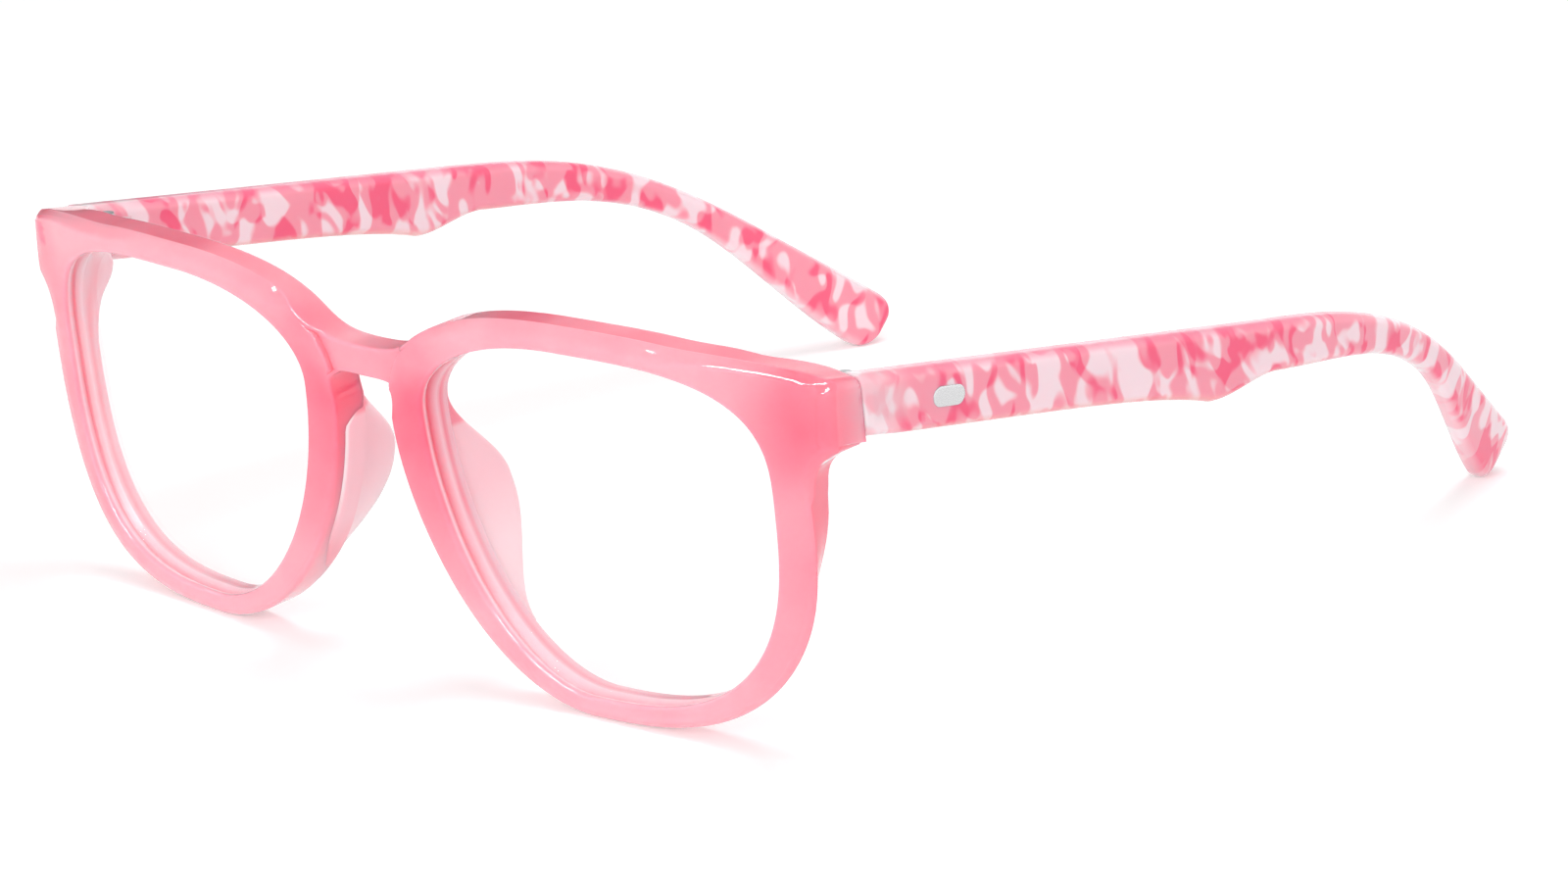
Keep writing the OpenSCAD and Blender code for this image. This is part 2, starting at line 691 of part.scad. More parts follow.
module hinge_temple(side) {
    color(steel)
        stand()
            on_side(side)
                difference() {
                    union() {
                        leaf_plate(0);
                        knuckle(axis_z);
                        translate([axis_x, axis_y - knuckle_r / 2, axis_z - knuckle_h / 2])
                            cube([inner_x + plate_t / 2 - axis_x, 1.5 * knuckle_r, knuckle_h]);
                    }
                    screw_hole();
                }
}

head_gap = 0.02;
head_z = front_plate_h / 2 + head_gap;

module hinge_screw(side) {
    color(steel)
        stand()
            on_side(side)
                translate([axis_x, axis_y, axis_z])
                    difference() {
                        union() {
                            translate([0, 0, -front_plate_h / 2])
                                cylinder(r = screw_r, h = front_plate_h + head_gap);
                            translate([0, 0, head_z])
                                cylinder(r = head_r, h = head_h);
                        }
                        translate([-2 * head_r, -slot_w / 2, head_z + head_h - slot_d])
                            cube([4 * head_r, slot_w, 2 * slot_d]);
                    }
}

module temple(side) {
    color(pattern_pink)
        stand()
            on_side(side)
                difference() {
                    polyhedron(points = bar_points, faces = bar_faces);
                    leaf_plate(pocket_clear);
                    inlay_bar(pocket_clear, -inlay_t - pocket_clear, inlay_t);
                }
}

module temple_inlay(side) {
    color(steel)
        stand()
            on_side(side)
                inlay_bar(0, -inlay_t, inlay_proud);
}

front_frame();
lens(1);  // lens_left
lens(-1);  // lens_right
nose_pad(1);  // nose_pad_left
nose_pad(-1);  // nose_pad_right
hinge_front(1);  // hinge_front_left
hinge_front(-1);  // hinge_front_right
hinge_temple(1);  // hinge_temple_left
hinge_temple(-1);  // hinge_temple_right
hinge_screw(1);  // hinge_screw_left
hinge_screw(-1);  // hinge_screw_right
temple(1);  // temple_left
temple(-1);  // temple_right
temple_inlay(1);  // temple_inlay_left
temple_inlay(-1);  // temple_inlay_right
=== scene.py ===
"""Looks of a pair of eyeglasses: a jelly pink front, clear lenses and patterned temples.

Sizes are in millimetres and degrees, laid out square to the front as [across, depth, height] with
the wearer's left on +x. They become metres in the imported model's frame when a mesh is made.
"""

import json
import math
from itertools import product

import bmesh
import bpy
import numpy as np
from mathutils import Matrix, Vector

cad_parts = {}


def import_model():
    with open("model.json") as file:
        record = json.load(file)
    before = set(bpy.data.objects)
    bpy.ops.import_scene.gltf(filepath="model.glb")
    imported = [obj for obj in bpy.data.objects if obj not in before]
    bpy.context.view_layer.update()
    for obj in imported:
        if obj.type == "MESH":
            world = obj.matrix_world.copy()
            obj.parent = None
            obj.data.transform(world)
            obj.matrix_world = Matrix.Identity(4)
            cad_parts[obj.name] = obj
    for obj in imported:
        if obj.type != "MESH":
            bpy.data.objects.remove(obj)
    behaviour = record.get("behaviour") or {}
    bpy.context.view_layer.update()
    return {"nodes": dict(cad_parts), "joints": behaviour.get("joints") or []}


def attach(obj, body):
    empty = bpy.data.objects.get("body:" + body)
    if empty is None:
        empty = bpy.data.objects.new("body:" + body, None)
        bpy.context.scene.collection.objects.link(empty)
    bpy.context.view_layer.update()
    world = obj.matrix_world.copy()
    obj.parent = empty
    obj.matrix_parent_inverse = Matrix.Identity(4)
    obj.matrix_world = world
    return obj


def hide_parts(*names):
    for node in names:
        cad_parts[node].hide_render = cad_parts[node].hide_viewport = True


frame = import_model()

MM = 0.001
WELD = 2e-6

# Lenses

LENS_W = 52.8
LENS_H = 43.4
EYE_GAP = 20.9
LENS_T = 1.8
LENS_DOME = 1.0
LENS_CLEAR = 0.08
TOP_SHIFT = -2.9
LOW_SHIFT = -2.6
NOSE_RISE = 10.8
SIDE_RISE = 5.9
SQUARE_TOP_SIDE = 3.15
SQUARE_TOP_NOSE = 2.05
SQUARE_LOW_NOSE = 1.9
SQUARE_LOW_SIDE = 2.85

# Front

RIM_BROW = 3.1
RIM_SIDE = 4.5
RIM_LOW = 2.6
RIM_NOSE = 5.4
RIM_D = 5
RIM_R = 0.9
BACK_R = 0.5
INNER_R = 0.5
SIDE_TAPER = 2.8
GROOVE_D = 0.7
GROOVE_AT = 1.9
FACE_SAG = 8.6
END_SHARE = 0.7
BRIDGE_H = 3.9
BRIDGE_DROP = 4.5
BRIDGE_SET = 0.8
END_REACH = 8
END_H = 8.3
END_D = 5.6
END_DROP = -0.5
END_R = 1.6
CREST_BULGE = 1.75
LEDGE_TAPER = 0.3
LEDGE_LIP = 0.3
SHOULDER = 1.1

# Nose pads

PAD_D = 7.9
PAD_T = 2.2
PAD_MARGIN = 0.7
PAD_GAP = 0.02
PAD_END = 0.5
PAD_RIDGE = 0.7
PAD_SPAN = (172, 236)
PAD_RISE_T = 179
PAD_PEAK = (201.5, 204)
PAD_OUTLINE = ((0, 0), (0.25, 0.5), (0.8, 0.88))

# Temples

TEMPLE_LEN = 148
TEMPLE_DROP = 12.2
TEMPLE_SPLAY = 1.5
TEMPLE_T = 3.8
TIP_T = 3.3
TEMPLE_R = 1.3
TEMPLE_H = 7.6
STEP_H = 9.1
STEP_AT = 61.5
STEP_SWELL = 7
STEP_RUN = 12.5
NECK_H = 6.4
EAR_H = 4.1
EAR_AT = 111
TIP_H = 8.7
TIP_SLANT = -7
TIP_RISE = 0.2
EAR_BEND = 28.2
BEND_FROM = 72
BEND_TO = 127
TIP_IN = 0.0029
CURL_FROM = 66.5
CURL_RUN = 56
CAP_LEN = 4.2
CAP_POWER = 3
CAP_EDGE = 0.3
ROOT_TURN = 12
TIP_RUN = 25
FULL_ROUND = 0.488

# Hinges and inlays

KNUCKLE_R = 1.2
KNUCKLE_H = 1.5
KNUCKLE_GAP = 0.3
KNUCKLE_BACK = 1.4
HINGE_GAP = 0.06
PLATE_T = 0.9
PLATE_MARGIN = (2.2, 1.6)
LEAF_LEN = 6
LEAF_AT = 1.6
LEAF_H = 3.8
POCKET_CLEAR = 0.03
INLAY_LEN = 5.4
INLAY_H = 2.6
INLAY_T = 0.8
INLAY_PROUD = 0.1
INLAY_AT = 14
INLAY_BEVEL = 0.25


# General functions


def mix(a, b, k):
    return a + (b - a) * k


def shares(n):
    """The ends of n equal steps from 0 to 1."""
    return np.arange(1, n + 1) / n


def ease(k):
    k = np.clip(k, 0, 1)
    return k * k * (3 - 2 * k)


def ramp(value, span):
    """0 before a span and 1 past it, eased between."""
    return ease((value - span[0]) / (span[1] - span[0]))


def inside(value, span, soft):
    """1 between the ends of a span and 0 away from it, with a soft edge."""
    return ease((value - span[0]) / soft + 0.5) * ease((span[1] - value) / soft + 0.5)


def bezier(points, k):
    """Points at the shares k along a cubic curve with these four control points."""
    a, b, c, d = (np.asarray(p, float) for p in points)
    k = k[:, None]
    return (1 - k) ** 3 * a + 3 * (1 - k) ** 2 * k * b + 3 * (1 - k) * k ** 2 * c + k ** 3 * d


def moved(points, matrix):
    matrix = np.array(matrix)
    return points @ matrix[:3, :3].T + matrix[:3, 3]


def outward(way):
    """Unit normals to the right of these directions."""
    turned = np.stack([way[:, 1], -way[:, 0]], 1)
    return turned / np.linalg.norm(turned, axis=1, keepdims=True)


def through(points, steps):
    """A smooth curve through all of these points, with this many steps between two of them."""
    ends = np.concatenate([2 * points[:1] - points[1:2], points, 2 * points[-1:] - points[-2:-1]])
    curve = []
    for a, b, c, d in zip(ends, ends[1:], ends[2:], ends[3:]):
        for k in np.arange(steps) / steps:
            curve.append(0.5 * (2 * b + (c - a) * k + (2 * a - 5 * b + 4 * c - d) * k ** 2
                                + (3 * b - a - 3 * c + d) * k ** 3))
    curve.append(points[-1])
    return np.array(curve)


# Lens opening: four superellipse quarters, from the temple side (0) over the top (90) to the nose (180)

LENS_MID = np.array([EYE_GAP / 2 + LENS_W / 2, RIM_LOW + LENS_H / 2])
CORNER_POWER = np.array([SQUARE_TOP_SIDE, SQUARE_TOP_NOSE, SQUARE_LOW_NOSE, SQUARE_LOW_SIDE])
NORMAL_STEP = 0.05


def opening(t):
    quarter = np.floor(t / 90).astype(int) % 4
    on_nose = (quarter == 1) | (quarter == 2)
    on_top = quarter < 2
    shift = np.where(on_top, TOP_SHIFT, LOW_SHIFT)
    rise = np.where(on_nose, NOSE_RISE, SIDE_RISE)
    flip_u = np.where(on_nose, -1, 1)
    flip_v = np.where(on_top, 1, -1)
    power = 2 / CORNER_POWER[quarter]
    across = np.abs(np.cos(np.radians(t))) ** power
    upward = np.abs(np.sin(np.radians(t))) ** power
    u = shift + flip_u * (LENS_W / 2 - flip_u * shift) * across
    v = rise + flip_v * (LENS_H / 2 - flip_v * rise) * upward
    return LENS_MID + np.stack([u, v], 1)


def opening_normal(t):
    return outward(opening(t + NORMAL_STEP) - opening(t - NORMAL_STEP))


def rim_width(t):
    rise = np.sin(np.radians(t))
    run = np.cos(np.radians(t))
    across = np.where(rise > 0, RIM_BROW, RIM_LOW)
    beside = np.where(run > 0, RIM_SIDE, RIM_NOSE)
    return mix(beside, across, rise * rise)


def rim_outer(t):
    return opening(t) + opening_normal(t) * rim_width(t)[:, None]


# Outline of one half of the front, as stations round its rim

HALF_W = EYE_GAP / 2 + LENS_W + END_REACH
OPEN_SIDE = EYE_GAP / 2 + LENS_W
OPEN_TOP = RIM_LOW + LENS_H
END_TOP = OPEN_TOP - END_DROP
END_LOW = END_TOP - END_H
BRIDGE_TOP = OPEN_TOP - BRIDGE_DROP
BRIDGE_LOW = BRIDGE_TOP - BRIDGE_H

FLARE_T = 1.9
LEDGE_T = 31.1
CORNER_T = (35.95, 50.55)
BROW_T = 70
BROW_NEAR = 0.5
NOTCH_T = 150
BRIDGE_T = (152, 159)
KEYHOLE_T = 183
TAPER_T = (345, 364)
FLARE_POWER = 1.6
FLARE_LEAD = (0.3, 5.3)
FLARE_HIGH = 1.8
LEDGE_AT = 5 / 6
CREST_ARMS = (4.7, 7.2)
NOTCH_LEAD = (-3.4, -2.3)
NOTCH_FLAT = 5.6
KEYHOLE_FLAT = 5.4
KEYHOLE_LEAD = (1.1, 4.4)
MIDDLE_SHARES = (0.35, 0.5, 0.65)

FLARE_STEPS = 22
LEDGE_STEPS = 8
WALL_STEPS = 6
CORNER_STEPS = 10
CREST_STEPS = 18
BROW_STEPS = 56
NOTCH_STEPS = 24
KEYHOLE_STEPS = 28
NOSE_STEPS = 46
LOW_STEPS = 88

ON_TOP = 1
ON_MIDDLE = 2
BELOW = 3


def rim_point(t):
    return rim_outer(np.array([float(t)]))[0]


def stretch(t, outer, join=0, taper=0.0, bridge=0):
    """Stations with these lens angles, outline points, joins and shares of the side's taper and bridge."""
    return [t, outer] + [np.broadcast_to(column, len(t)) for column in (join, taper, bridge)]


def end_stations():
    """Up the flare under the end piece, its side wall and corner, and over its crest to the brow."""
    flare_from = rim_point(FLARE_T)
    flare_to = np.array([HALF_W, END_LOW + LEDGE_LIP])
    below = np.linspace(0, LEDGE_AT, FLARE_STEPS)[:-1]
    share = np.concatenate([below, np.linspace(LEDGE_AT, 1, LEDGE_STEPS)])
    curve = (flare_from, flare_from + FLARE_LEAD, flare_to - [0, FLARE_HIGH], flare_to)
    flare = stretch(mix(FLARE_T, LEDGE_T, share), bezier(curve, 1 - (1 - share) ** FLARE_POWER),
                    taper=LEDGE_TAPER * (1 - ramp(share, (LEDGE_AT, 1))))

    share = shares(WALL_STEPS)[:-1]
    corner_low = np.array([HALF_W, END_TOP - END_R])
    wall = stretch(mix(LEDGE_T, CORNER_T[0], share), mix(flare_to, corner_low, share[:, None]))

    share = np.linspace(0, 1, CORNER_STEPS)
    turn = np.pi / 2 * share
    middle = np.array([HALF_W - END_R, END_TOP - END_R])
    corner = stretch(mix(*CORNER_T, share), middle + END_R * np.stack([np.cos(turn), np.sin(turn)], 1))

    share = shares(CREST_STEPS)
    crest_from = np.array([HALF_W - END_R, END_TOP])
    crest_to = rim_point(BROW_T)
    way = rim_point(BROW_T + BROW_NEAR) - rim_point(BROW_T - BROW_NEAR)
    way = way / np.linalg.norm(way)
    curve = (crest_from, crest_from + [-CREST_ARMS[0], CREST_BULGE], crest_to - way * CREST_ARMS[1], crest_to)
    crest = stretch(mix(CORNER_T[1], BROW_T, share), bezier(curve, share))
    return [flare, wall, corner, crest]


def bridge_stations():
    """Along the notch to the bridge's middle, down through it and back along the keyhole."""
    share = shares(NOTCH_STEPS)
    notch_from = rim_point(NOTCH_T)
    curve = (notch_from, notch_from + NOTCH_LEAD, (NOTCH_FLAT, BRIDGE_TOP), (0, BRIDGE_TOP))
    notch = stretch(mix(NOTCH_T, BRIDGE_T[0], share), bezier(curve, share),
                    join=np.where(share < 1, 0, ON_TOP), bridge=1)

    share = np.array(MIDDLE_SHARES)
    line = np.stack([0 * share, mix(BRIDGE_TOP, BRIDGE_LOW, share)], 1)
    middle = stretch(mix(*BRIDGE_T, share), line, join=ON_MIDDLE, bridge=1)

    share = np.arange(KEYHOLE_STEPS + 1) / KEYHOLE_STEPS
    keyhole_to = rim_point(KEYHOLE_T)
    curve = ((0, BRIDGE_LOW), (KEYHOLE_FLAT, BRIDGE_LOW), keyhole_to + KEYHOLE_LEAD, keyhole_to)
    keyhole = stretch(mix(BRIDGE_T[1], KEYHOLE_T, share), bezier(curve, share),
                      join=np.where(share > 0, 0, BELOW), bridge=1)
    return [notch, middle, keyhole]


def rim_stations():
    """All the stations in order, as columns of what a stretch holds."""
    t = mix(BROW_T, NOTCH_T, shares(BROW_STEPS))
    brow = stretch(t, rim_outer(t))

    t = mix(KEYHOLE_T, PAD_SPAN[1], shares(NOSE_STEPS))
    nose = stretch(t, rim_outer(t))

    t = mix(PAD_SPAN[1], 360 + FLARE_T, shares(LOW_STEPS)[:-1])
    eased = mix(1, LEDGE_TAPER, ramp(t, TAPER_T))
    low = stretch(t, rim_outer(t), taper=np.maximum(0, np.cos(np.radians(t))) * eased)

    parts = end_stations() + [brow] + bridge_stations() + [nose, low]
    return [np.concatenate(columns) for columns in zip(*parts)]


RING_T, RING_OUTER, RING_JOIN, RING_TAPER, RING_BRIDGE = rim_stations()
RING_N = len(RING_T)


def ring_normals():
    normals = outward(np.roll(RING_OUTER, -1, 0) - np.roll(RING_OUTER, 1, 0))
    normals[RING_JOIN == ON_TOP] = (0, 1)
    normals[RING_JOIN == BELOW] = (0, -1)
    normals[RING_JOIN == ON_MIDDLE] = (-1, 0)
    return normals


RING_NORMAL = ring_normals()

# Depth of the front: it sweeps back towards its ends, and the end piece has a flat back

BLOCK_FROM = (-5.7, 0.6, -3)
BLOCK_RUN = (5.4, 3, 7)
BLOCK_LOW = (10, 0.1)
BLOCK_LOW_RUN = (13.5, 0.35)
LEAN_FROM = -8
LEAN_RUN = (12, 5)


def sag(u):
    k = u / HALF_W
    return FACE_SAG * ((1 - END_SHARE) * k ** 2 + END_SHARE * k ** 4)


JOINT_Y = sag(HALF_W) + END_D
TEMPLE_FALL = math.tan(math.radians(TEMPLE_DROP))
JOINT_TOP = END_TOP - END_D * TEMPLE_FALL
JOINT_LOW = JOINT_TOP - END_H


def block(p):
    """Share of the end piece's full depth at points of the front."""
    across, up = p[..., 0], p[..., 1]
    grown = [ease((across - OPEN_SIDE - start) / run) for start, run in zip(BLOCK_FROM, BLOCK_RUN)]
    low = END_LOW - mix(*BLOCK_LOW, grown[1])
    low_run = mix(*BLOCK_LOW_RUN, grown[1])
    top = ease((up - END_TOP + SHOULDER) / SHOULDER)
    return grown[0] * ease((up - low) / low_run) * (1 - top * (1 - grown[2]))


def back_depth(p):
    return mix(RIM_D, JOINT_Y - sag(p[..., 0]), block(p))


def place(p, w):
    """Points of the front at the depths w behind its face, as [across, depth, height]."""
    across, up = p[..., 0], p[..., 1]
    lean = ease((across - OPEN_SIDE - LEAN_FROM) / LEAN_RUN[0]) * ease((up - END_LOW) / LEAN_RUN[1] + 1)
    return np.stack([across, sag(across) + w, up - lean * w * TEMPLE_FALL], -1)


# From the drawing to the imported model: the fold joint's place and axis say how the front is tipped

INNER_X = HALF_W - TEMPLE_T
AXIS = np.array([INNER_X - KNUCKLE_R - KNUCKLE_GAP, JOINT_Y + KNUCKLE_R + KNUCKLE_BACK,
                 (JOINT_TOP + JOINT_LOW) / 2])


def standing():
    """Matrix from the drawing, in millimetres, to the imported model, in metres."""
    joint = next(j for j in frame["joints"] if j["name"] == "fold_left")
    tilt = Matrix.Rotation(math.atan2(-joint["axis"][1], joint["axis"][2]), 4, "X")
    tipped = tilt @ Vector(AXIS)
    shift = Vector(joint["pos_m"]) / MM - tipped
    return Matrix.Scale(MM, 4) @ Matrix.Translation((0, shift.y, shift.z)) @ tilt


STANDING = standing()


# Making pieces

SHARP = math.radians(38)


def make_piece(name, points, faces, values):
    """An object from points in millimetres, with named values for its points."""
    mesh = bpy.data.meshes.new(name)
    mesh.from_pydata(moved(points, STANDING).tolist(), [], faces)
    for key, numbers in values.items():
        vector = numbers.ndim == 2
        layer = mesh.attributes.new(key, "FLOAT_VECTOR" if vector else "FLOAT", "POINT")
        layer.data.foreach_set("vector" if vector else "value", numbers.astype(float).ravel())
    work = bmesh.new()
    work.from_mesh(mesh)
    bmesh.ops.remove_doubles(work, verts=work.verts, dist=WELD)
    bmesh.ops.dissolve_degenerate(work, edges=work.edges, dist=WELD)
    loose = [v for v in work.verts if not v.link_faces]
    bmesh.ops.delete(work, geom=loose, context="VERTS")
    bmesh.ops.recalc_face_normals(work, faces=work.faces)
    work.to_mesh(mesh)
    work.free()
    made = bpy.data.objects.new(name, mesh)
    bpy.context.scene.collection.objects.link(made)
    return made


def cut_pocket(piece, cutter_points):
    """Takes the box with these eight corners out of a piece."""
    faces = [(0, 1, 3, 2), (4, 6, 7, 5), (0, 4, 5, 1), (2, 3, 7, 6), (0, 2, 6, 4), (1, 5, 7, 3)]
    cutter = make_piece("cutter", cutter_points, faces, {})
    change = piece.modifiers.new("pocket", "BOOLEAN")
    change.operation = "DIFFERENCE"
    change.solver = "EXACT"
    change.object = cutter
    bpy.context.view_layer.update()
    evaluated = piece.evaluated_get(bpy.context.evaluated_depsgraph_get())
    mesh = bpy.data.meshes.new_from_object(evaluated)
    piece.modifiers.clear()
    before = piece.data
    piece.data = mesh
    bpy.data.meshes.remove(before)
    bpy.data.objects.remove(cutter)


def finish_piece(piece, name, body, material):
    """Shades a piece, gives it its material and lets it stand for a node on a body."""
    piece.data.name = name
    piece.data.shade_smooth()
    piece.data.set_sharp_from_angle(angle=SHARP)
    piece.data.materials.clear()
    piece.data.materials.append(material)
    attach(piece, body)
    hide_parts(name)


def mirrored(points, side):
    return points * np.array([side, 1, 1])


def box_corners(low, high):
    return np.array(list(product(*zip(low, high))))


def loft(rows, columns, wrap_rows=False):
    """Quads of a grid of rows that each close on themselves."""
    faces = []
    for i in range(rows if wrap_rows else rows - 1):
        for j in range(columns):
            k = (i + 1) % rows
            m = (j + 1) % columns
            faces.append((i * columns + j, k * columns + j, k * columns + m, i * columns + m))
    return faces


def closed_loft(rows, columns):
    """Quads of such a grid and a flat face at each of its ends."""
    last = (rows - 1) * columns
    ends = [tuple(range(columns)), tuple(last + j for j in reversed(range(columns)))]
    return loft(rows, columns) + ends


# Front

ARC_STEPS = 6
SIDE_STEPS = 8
BACK_STEPS = 16
BORE_STEPS = 5
FACE_STEPS = 12
EDGE_STEPS = 5
CRISP_R = 0.4
CRISP_UP = (14, 32)
WALL_EDGE = 1.2
SOFT_END_T = (38, 66)
FACE_CROWN = 0.2
DOME_D = 1.3
DOME_RUN = 2.6
DOME_T = (31, 43, 138, 150)
STEP_R = 0.3
STEP_FOOT = 0.04
STEP_GROWTH = 1.0
LEAST_EDGE = 0.2
FACE_LIMIT = 0.98
STEP_LIMIT = 0.9
EDGE_SEARCH = np.linspace(140, 195, 500)
GROOVE_HALF = LENS_T / 2 + LENS_CLEAR
ARC = np.linspace(0, np.pi / 2, ARC_STEPS)

# The front's section at each station: the ends of its face and of its back, the radius and slope of its
# outer edge, and how far the bridge's step and the dome of the brow set that edge back

AT_MIDDLE = RING_JOIN == ON_MIDDLE
AT_BRIDGE = RING_BRIDGE > 0
RING_INNER = opening(RING_T)
INNER_NORMAL = opening_normal(RING_T)
FACE_IN = RING_INNER + INNER_NORMAL * INNER_R
REAR = RING_OUTER - RING_NORMAL * (SIDE_TAPER * RING_TAPER)[:, None]
REAR_R = np.where(AT_MIDDLE, 0, BACK_R)
BACK_OUT = REAR - RING_NORMAL * REAR_R[:, None]
DOMED = ramp(RING_T, DOME_T[:2]) * (1 - ramp(RING_T, DOME_T[2:]))


def edge_radius():
    crisp = ramp(RING_OUTER[:, 1], CRISP_UP)
    at_end = 1 - ramp(RING_T, SOFT_END_T)
    radius = mix(mix(RIM_R, CRISP_R, crisp), mix(RIM_R, WALL_EDGE, crisp), at_end)
    return np.where(AT_MIDDLE, 0, radius)


EDGE_R = edge_radius()
CROWN_SLOPE = np.where(AT_BRIDGE, 0, 4 * FACE_CROWN / np.linalg.norm(RING_OUTER - FACE_IN, axis=1))
EDGE_SLOPE = np.arctan(2 * DOME_D * DOMED / DOME_RUN + CROWN_SLOPE)
EDGE_IN = EDGE_R * (1 - np.sin(EDGE_SLOPE))
FACE_OUT = RING_OUTER - RING_NORMAL * EDGE_IN[:, None]
FACE_RUN = np.linalg.norm(FACE_OUT - FACE_IN, axis=1)


def rim_reach(starts, ways):
    """How far it is from these points, along these directions, to the rim's own edge beside the bridge."""
    edge = rim_outer(EDGE_SEARCH)
    reach = []
    for start, way in zip(starts, ways):
        along = (edge - start) @ way
        aside = (edge - start) @ np.array([-way[1], way[0]])
        crossing = np.where((aside[:-1] * aside[1:] <= 0) & (along[:-1] > 0))[0]
        near = crossing[np.argmin(along[crossing])]
        share = aside[near] / (aside[near] - aside[near + 1])
        reach.append(mix(along[near], along[near + 1], share))
    return np.array(reach)


def face_reach():
    """How far the face goes at each station before the bridge's step, or to its outer edge."""
    reach = FACE_RUN + EDGE_IN
    ways = (FACE_OUT - FACE_IN) / FACE_RUN[:, None]
    reach[AT_BRIDGE] = np.minimum(reach[AT_BRIDGE], rim_reach(FACE_IN[AT_BRIDGE], ways[AT_BRIDGE]))
    return reach


FACE_REACH = face_reach()
STEP_SET = BRIDGE_SET * np.where(AT_MIDDLE, 1, ease((FACE_RUN + EDGE_IN - FACE_REACH) / STEP_GROWTH))
EDGE_SET = STEP_SET + DOME_D * DOMED


def outer_side():
    """Rows of points and depths round the outer edge, along the side wall and round the back edge."""
    deep = back_depth(BACK_OUT)
    start = EDGE_SET + np.maximum(EDGE_R * np.cos(EDGE_SLOPE), LEAST_EDGE)
    end = deep - np.maximum(REAR_R, LEAST_EDGE)
    rows = []
    for k in np.linspace(0, 1, ARC_STEPS):
        turn = mix(EDGE_SLOPE, np.pi / 2, k)
        inward = EDGE_R * (1 - np.sin(turn))
        depth = EDGE_SET + EDGE_R * (np.cos(EDGE_SLOPE) - np.cos(turn))
        rows.append((RING_OUTER - RING_NORMAL * inward[:, None], depth))
    for k in np.arange(SIDE_STEPS + 1) / SIDE_STEPS:
        rows.append((mix(RING_OUTER, REAR, k), mix(start, end, k)))
    for a in ARC:
        inward = REAR_R * (1 - np.cos(a))
        rows.append((REAR - RING_NORMAL * inward[:, None], deep - REAR_R * (1 - np.sin(a))))
    return rows


def back_and_bore():
    """Rows across the back, along the bore with its lens groove and round the inner front edge."""
    deep = back_depth(FACE_IN)
    level = 0 * deep
    rows = []
    for k in 1 - shares(BACK_STEPS)[:-1]:
        point = mix(FACE_IN, BACK_OUT, k)
        rows.append((point, back_depth(point)))
    for a in ARC:
        point = RING_INNER + INNER_NORMAL * INNER_R * (1 - np.sin(a))
        rows.append((point, deep - INNER_R * (1 - np.cos(a))))
    for k in shares(BORE_STEPS):
        rows.append((RING_INNER, mix(deep - INNER_R, GROOVE_AT + GROOVE_HALF, k)))
    rows.append((RING_INNER + INNER_NORMAL * GROOVE_D, GROOVE_AT + level))
    rows.append((RING_INNER, GROOVE_AT - GROOVE_HALF + level))
    for a in ARC:
        point = RING_INNER + INNER_NORMAL * INNER_R * (1 - np.cos(a))
        rows.append((point, INNER_R * (1 - np.sin(a)) + level))
    return rows


def face_row(distance, drop):
    """A row of the face at a distance from its inner end, with a share of the drop to the bridge."""
    crown = np.clip(distance / np.minimum(FACE_RUN, FACE_REACH), 0, 1)
    depth = -FACE_CROWN * (1 - (2 * crown - 1) ** 2) * (1 - drop) + STEP_SET * drop
    share = np.minimum(distance / FACE_RUN, FACE_LIMIT)
    from_edge = (1 - share) * FACE_RUN
    depth = depth + DOME_D * DOMED * np.clip(1 - from_edge / DOME_RUN, 0, 1) ** 2
    return mix(FACE_IN, FACE_OUT, share[:, None]), depth


def face_side():
    """Rows over the crowned face, round the edge of the bridge's step and from its foot to the outer edge."""
    edge = np.minimum(FACE_REACH - STEP_R, STEP_LIMIT * FACE_RUN)
    foot = edge + STEP_R + STEP_FOOT
    rows = [face_row(edge * k, 0) for k in shares(FACE_STEPS)]
    for a in np.linspace(0, np.pi / 2, EDGE_STEPS)[1:]:
        rows.append(face_row(edge + STEP_R * np.sin(a), STEP_R / BRIDGE_SET * (1 - np.cos(a))))
    rows.append(face_row(foot, 1))
    for k in shares(EDGE_STEPS)[:-1]:
        rows.append(face_row(mix(np.minimum(foot, FACE_RUN), FACE_RUN, k), 1))
    return rows


def front_sections():
    """Points of the rim's section at each station, and how many of them are on its outer side."""
    outer = outer_side()
    rows = outer + back_and_bore() + face_side()
    return np.stack([place(point, depth) for point, depth in rows], 1), len(outer)


# Where the front looks paler, deeper or shaded, with painted shade on its top faces, painted reflection on
# the end pieces' side walls and painted highlight streaks along its bore: spans across, up and round the rim,
# and shares

PALE_BRIDGE = (3.5, 9.0)
PALE_BRIDGE_UP = (33.0, 39.0)
PALE_BRIDGE_SHARE = 0.6
PLATE_ACROSS = (66.2, 70.6)
PLATE_UP = (42.6, 45.6)
PLATE_SOFT = 0.7
GLEAM_T = (9.5, 12.5)
GLEAM_SOFT = 1.0
SHARE_BESIDE = 0.95
BESIDE_POWER = 3.3
SHARE_ENDS = 0.5
ENDS_ACROSS = (-2.0, 5.0)
ENDS_UP = (-7.0, 2.0)
DEEP_SPOT = (66.0, 41.0)
DEEP_SPOT_R = 6.5
DEEP_SPOT_SHARE = 0.35
# Painted shade on the rim's top faces, partly standing for the plastic's depth through its height
TOP_SHADE_SHARE = 0.6
TOP_SHADE_T = (105, 135)
SHADED_TOP_FACING = (0.6, 0.9)
# Painted reflection on the end pieces' side walls
SIDE_LIGHT = 0.8
SIDE_T = (29, 52)
SIDE_SOFT = 4.0
BORE_EDGE = 0.8
# Painted highlight streaks along the bore
BORE_HIGHLIGHT_STRIPES = (0.9, 0.5, 0.3, 0.8, 1.0, 0.1, 1.0)


